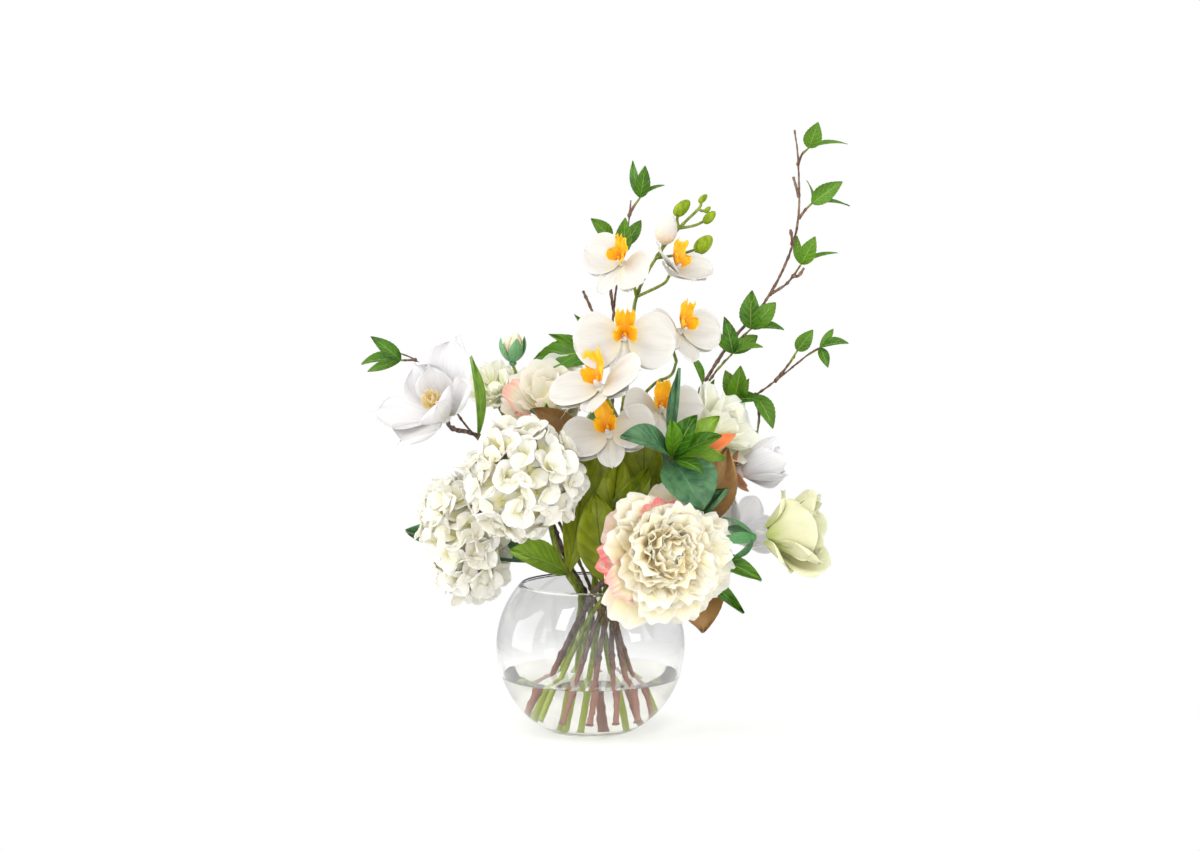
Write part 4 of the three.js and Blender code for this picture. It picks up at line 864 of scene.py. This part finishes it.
def makeOrchidStem(name, blooms):
    thin = dict(step=1.5, rough=0.08)
    parts = [stem(*stemPath(name), 12, 2, joints=42)]
    for start, (at, axis, (_, size, _)) in zip(rowsOf(bloomStalks[name]), blooms):
        behind = [at - unit(axis) * (orchidCore["along"] * size + d) for d in (12, 0.4)]
        parts.append(stem([start, *behind], 1.7, 1.5, **thin))
    if name == "orchid_high":
        parts += [stem(rowsOf(points), 1.6, 1.4, **thin) for points in budStalks.split(";")]
        for *at, across, along in rowsOf(orchidBuds):
            parts.append(eggs(facing(at, (0.7, -0.1, 0.7)), across * 0.95, along, along * 0.4, 24, 16, 1, point=0.25))
    makePiece(f"{name}_stalks", f"{name}_stem", ["green stalk", "orchid bud"], parts)


orchidRows = [rowsOf(row) for row in orchids.split(";")]
for i, (at, axis, habit) in enumerate(orchidRows):
    makeOrchid(i + 1, at, axis, *habit)
makeOrchidStem("orchid_high", orchidRows[:4])
makeOrchidStem("orchid_low", orchidRows[4:])
print("orchids")

# peonies, rose and magnolias are rings of petals round a core
frilled = dict(claw=0.12, peak=1.1, round=0.7, end=0.7, arch=0.12, notch=0.03, lobes=2.5, ruffle=3, ruffles=2.3,
               jag=0.013, jags=3.5, fold=1.6, flare=0.06, thickness=0.5)
crumpled = dict(frilled, fold=1.3, folds=4, ruffle=1.2, ruffles=2.5, arch=0.2, jag=0.015, end=0.8, peak=1.3)
broad = dict(frilled, fold=0.8, folds=2, ruffle=1.6, ruffles=2, arch=0.15, jag=0.015)
smooth = dict(claw=0.12, peak=1.55, round=0.66, wave=0.02, fold=0.5)
pointed = dict(smooth, end=0.88, arch=0.16, wave=0, fold=0.3)
rolled = dict(smooth, peak=1.5, round=0.6, end=0.84, flare=0.14, roll=0.3, arch=0.14, fold=1.5, folds=2.5)

# each ring: count, first azimuth, height on the core, length, width, rise, curl, cup
rings = {
    "peony_front":
        "10 10 3 60 54 8 14 .4, 11 30 6 57 48 24 2 .5, 11 12 10 54 45 38 -10 .5, 11 0 13 50 43 48 -12 .5, "
        "10 22 17 46 42 56 -8 .6, 9 5 20 41 40 62 0 .6, 8 20 23 36 37 67 12 .7, 7 0 26 31 33 72 28 .8, "
        "5 20 28 28 29 76 56 1",
    "peony_back": "6 0 4 56 56 16 54 .6, 5 28 9 50 50 34 46 .7, 5 0 14 42 42 52 36 .8, 4 30 20 32 30 68 20 .9",
    "peony_right": "6 100 4 58 54 18 28 .6, 5 70 9 52 50 36 22 .7, 4 20 14 40 38 58 26 .9, 4 60 17 30 30 72 44 1",
    "peony_left": "7 20 4 34 32 24 44 .4, 6 0 8 31 26 44 28 .5, 4 30 13 26 20 62 14 .5",
    "rose":
        "1 146 2 44 60 34 14 .8, 1 4 3 44 52 40 6 .6, 3 84 5 64 76 37 60 1, 3 26 9 58 68 50 38 1, "
        "4 10 14 52 54 58 40 1, 3 60 20 40 40 66 42 1, 3 0 22 32 34 74 64 1",
    "magnolia_right": "5 20 3 54 42 48 46 .8, 4 60 7 46 38 60 38 .8",
    "magnolia_low": "5 0 3 46 40 16 32 .5, 4 45 7 40 36 40 24 .6",
}
# plump is how large the core is drawn, loose is how unevenly the petals stand
bloomLook = {
    "peony_front": dict(shape=frilled, finish="peony petal", seed=3, loose=3, plump=1.36),
    "peony_back": dict(shape=broad, finish="pale peony petal", seed=21, loose=1.2),
    "peony_right": dict(shape=crumpled, finish="pale green peony petal", seed=33, loose=1.2, plump=0.75),
    "peony_left": dict(shape=crumpled, finish="pale green peony petal", seed=41, loose=1.2),
    "rose": dict(shape=rolled, finish="rose petal", seed=55, loose=0.8, plump=0.6),
    "magnolia_right": dict(shape=pointed, finish="magnolia petal", seed=61, loose=1),
    "magnolia_low": dict(shape=smooth, finish="magnolia petal", seed=71, loose=1),
}
imbrication = 10  # degrees that each petal is rolled, so that its edge lies over the next


def makeBloom(name):
    look = bloomLook[name]
    at, axis, (across, coreLength, middle) = rowsOf(blooms[name])
    place, plump, loose = facing(at, axis), look.get("plump", 0.97), look["loose"]
    parts = [eggs(place, across * plump, coreLength * plump, middle, 20, 14, tint=1)]
    for r, (count, start, up, length, width, rise, curl, cup) in enumerate(rowsOf(rings[name])):
        petal = np.arange(int(count))
        k = look["seed"] + 40 * r + petal
        level = up + loose * 1.2 * sway(k + 100)
        out = 0.92 * across * np.sqrt(np.clip(1 - ((level - middle) / coreLength) ** 2, 0.02, 1)) - 2.5
        azimuth = start + 360 * petal / count + 5 * loose * sway(k)
        tilt = rise + 3 * loose * sway(k + 300)
        places = petalPlaces(place, azimuth, out, level, tilt, imbrication + 4 * loose * sway(k + 700))
        parts.append(blades(
            places, 20, 16, tint=draw(k + 900), blush=blushOf(name, r, azimuth), cup=cup, phase=6 * draw(k + 400),
            length=length * (1 + 0.06 * loose * sway(k + 200)), width=width * (1 + 0.1 * sway(k + 800)),
            curl=np.radians(curl + 6 * loose * sway(k + 600)), **look["shape"]))
    makePiece(f"{name}_petals", f"{name}_bloom", [look["finish"]], parts)


# the front peony blushes at its left and its top, the back one at its lower left and its heart
def blushOf(name, ring, azimuth):
    near = lambda middle: np.cos(np.radians(azimuth - middle))
    if name == "peony_front":
        return np.clip(np.maximum(4 * near(88) - 2.9, 24 * near(6) - 23), 0, 1) * (ring < 2)
    if name == "peony_back":
        return np.clip(2.4 * near(136) - 1, 0, 1) * (ring == 1) + 0.1 * (ring > 1)
    return 0


for name in rings:
    makeBloom(name)
print("peonies, rose and magnolias")

# azimuth, length, width, rise, curl and cup of the open magnolia's tepals
openTepals = (
    "-12 84 62 32 14 0.8, 40 62 54 44 14 0.7, 12 56 44 60 6 0.7, 108 72 58 14 24 0.7, 166 66 64 18 30 0.7, "
    "236 62 56 50 34 0.8, 284 68 46 34 26 0.9"
)
stamens = dict(across=5, along=10, up=26, count=110, length=14, width=1.4)


def makeOpenMagnolia():
    at, axis, (across, coreLength, middle) = rowsOf(blooms["magnolia_left"])
    place = facing(at, axis)
    azimuth, length, width, rise, curl, cup = rowsOf(openTepals).T
    k = np.arange(len(azimuth))
    shape = dict(smooth, fold=1.4, folds=2, arch=0.1, wave=0.03)
    tepals = blades(petalPlaces(place, azimuth, 6, 6, rise, 8), 26, 18, tint=draw(k + 5), length=length, width=width,
                    curl=np.radians(curl), cup=cup, phase=6 * draw(k + 30), **shape)
    heart = eggs(place, across, coreLength, middle, 20, 12)
    makePiece("magnolia_left_tepals", "magnolia_left_bloom", ["magnolia petal"], [tepals, heart])
    k = np.arange(stamens["count"])
    cone = eggs(place, stamens["across"], stamens["along"], stamens["up"], 16, 12)
    rise = 20 + 55 * draw(k + 3)
    level = stamens["up"] - 6 + 12 * (rise / 75) + 1.5 * sway(k)
    places = petalPlaces(place, np.degrees(k * golden), 3.2, level, rise)
    threads = blades(places, 5, 2, tint=draw(k), length=stamens["length"] * (0.8 + 0.4 * draw(k + 8)),
                     width=stamens["width"], curl=0.5, cup=0.4, claw=0.5, end=0.75, thickness=0.7)
    makePiece("magnolia_left_threads", "magnolia_left_stamens", ["stamen"], [cone, threads])


def makeBud():
    place, k = facing(bud["at"], bud["axis"]), np.arange(5)
    body = eggs(place, bud["across"] * 0.9, bud["along"] * 0.97, bud["along"] + 1, 24, 18, tint=0.8)
    petals = blades(petalPlaces(place, 30 + 72 * k, 4.6, 2.5, 62, 14), 18, 10, tint=draw(k), length=29, width=17,
                    curl=radians(52), cup=0.9, phase=6 * draw(k), claw=0.3, round=0.8, thickness=0.5)
    makePiece("peony_bud_petals", "peony_bud", ["peony petal"], [body, petals])


makeOpenMagnolia()
makeBud()

floret = dict(reach=22.5, width=24, sink=14, rise=28, eye=1.5)
floretPetal = dict(claw=0.25, peak=1.2, round=0.55, cup=0.5, wave=0.05, thickness=0.45)


# Florets stand on an egg, spread evenly by the golden angle; each is four petals round a small eye
def makeHydrangea(name):
    head = hydrangeas[name]
    place = facing(head["at"], head["axis"])
    k = np.arange(head["florets"])
    z = 1 - (2 * k + 1) / head["florets"]
    r = np.sqrt(1 - z ** 2)
    half = np.array([head["across"], head["across"], head["along"]])
    on = np.stack([r * np.cos(k * golden), r * np.sin(k * golden), z], -1) * half
    shown = unit(on) @ (unit(head["stem"]) @ place[0, :3, :3]) < 0.93  # none where the stem comes in
    k, on = k[shown] + head["seed"], on[shown]
    out = unit(on / half ** 2)
    side = unit(np.cross([0, 0, 1.0], out))
    frames = place @ framesAt(side, out, on - out * each(floret["sink"] + 3 * sway(k + 20), 1))
    frames = frames @ turned("x", 26 * sway(k + 1)) @ turned("y", 26 * sway(k + 2)) @ turned("z", 90 * draw(k + 3))
    quarter = np.arange(4)
    n = (k[:, None] * 4 + quarter).ravel()
    rise = np.repeat(floret["rise"] + 20 * sway(k + 4), 4) + 16 * sway(n)
    turns = petalPlaces(np.eye(4), np.tile(90 * quarter, len(k)), 0.8, 0.4, rise, 10 + 14 * sway(n + 31))
    petals = blades(
        np.repeat(frames, 4, 0) @ turns, 6, 4, tint=np.repeat(draw(k + 5), 4) * 0.6 + 0.4 * draw(n + 6),
        length=floret["reach"] * (1 + 0.14 * sway(n + 7)), width=floret["width"] * (1 + 0.12 * sway(n + 8)),
        phase=6 * draw(n + 9), curl=-0.3 + 0.6 * sway(n + 12), **floretPetal)
    makePiece(f"{name}_florets", f"{name}_head", ["hydrangea petal", "flower core"], [
        petals,
        eggs(frames @ moved(0, 0, 1.4), floret["eye"], floret["eye"], 0, 6, 5, 1),
        eggs(frames @ moved(0, 0, -9), 0.9, 11, 0, 5, 4, 1),
        eggs(place, head["across"] - coreInset - 4, head["along"] - coreInset - 4, 0, 24, 16, 1),
    ])


for name in hydrangeas:
    makeHydrangea(name)
print("hydrangeas")

studio = dict(floor=(0.95, 0.95, 0.945), floorGrain=(0.97, 0.97, 0.965), floorRadius=0.8, floorSides=96, sky=0.72,
              overhead=0.34, front=1.7, wall=0.69, key=24, fill=12, window=2.6)
# each window: degrees from straight behind the camera to its left and right edge, bottom, top and strength
windows = "-112 -74 -0.1 0.62 1.5, -66 -56 0.12 0.42 1, 70 84 0.1 0.5 0.8"


def floorNodes(tree, look):
    place, radius = objectPlace(tree), look["floorRadius"]
    far = add(tree, "VectorMath", {0: place}, output=1, operation="LENGTH")
    colour = blend(noise(place, 3), look["floor"], look["floorGrain"])
    fade = step(far, radius * 0.85, radius * 0.3)
    return addShader(tree, Base_Color=colour, Roughness=0.6, Specular_IOR_Level=0.2, Alpha=fade)


# a round pale floor that fades out at its far edge
def makeFloor():
    radius, sides = studio["floorRadius"], studio["floorSides"]
    turn = np.linspace(0, 2 * pi, sides, endpoint=False)
    points = np.stack([np.cos(turn), np.sin(turn), 0 * turn], -1) * radius
    mesh = bpy.data.meshes.new("floor")
    mesh.from_pydata(points.tolist(), [], [list(range(sides))])
    mesh.materials.append(newFinish("pale floor", floorNodes, studio))
    newObject("floor", mesh, (0, 0, -0.0005))


def makeLight(name, at, size, power, colour):
    light = bpy.data.lights.new(name, "AREA")
    light.shape, light.energy, light.color = "RECTANGLE", power, colour
    light.size, light.size_y = size * 0.5, size * 1.2
    lamp = newObject(name, light, at)
    lamp.rotation_euler = (Vector(at) - Vector((0, 0, 0.3))).to_track_quat("Z", "Y").to_euler()


# White behind everything; what lights the bunch and shows in the glass is a grey room with tall windows
def makeRoom():
    world = bpy.data.worlds.new("studio")
    bpy.context.scene.world = world
    world.use_nodes = True
    tree = world.node_tree
    x, y, z = separate(add(tree, "TexCoord"))
    azimuth = x.calc("ARCTAN2", y * -1) * (180 / pi)
    front = (y * -1).calc("MAXIMUM", 0).calc("POWER", 5)
    bright = z.calc("MAXIMUM", 0) * studio["overhead"] + studio["sky"] + front * studio["front"]
    for left, right, low, high, share in rowsOf(windows):
        across = step(azimuth, left, left + 3) * step(azimuth, right, right - 3)
        tall = step(z, low, low + 0.05) * step(z, high, high - 0.05)
        bright = bright + across * tall * (studio["window"] * share)
    far = step(z, -0.3, -0.5).calc("MAXIMUM", step(z, -0.02, 0.12))
    seen, through = add(tree, "LightPath"), add(tree, "LightPath", output=6)
    lit = (seen.calc("MAXIMUM", through) * -1 + 1) * bright
    strength = lit + seen.calc("MAXIMUM", through * (far * (1 - studio["wall"]) + studio["wall"]))
    background = tree.nodes["Background"]
    tree.links.new(strength.socket, background.inputs["Strength"])
    background.inputs["Color"].default_value = (1, 1, 1, 1)


makeFloor()
makeRoom()
makeLight("key", (-1.6, -1.9, 2.2), 1.4, studio["key"], (1, 0.985, 0.96))
makeLight("fill", (1.9, -1.2, 1.2), 1.2, studio["fill"], (1, 1, 1))

view = dict(lens=65.8, at=(0.01, -2.3, 0.524), down=4.96)
camera = bpy.data.cameras.new("camera")
camera.lens, camera.sensor_width = view["lens"], 36
viewer = newObject("camera", camera, view["at"])
viewer.rotation_euler = (radians(90 - view["down"]), 0, 0)
bpy.context.scene.camera = viewer
bpy.context.scene.view_settings.view_transform = "Standard"
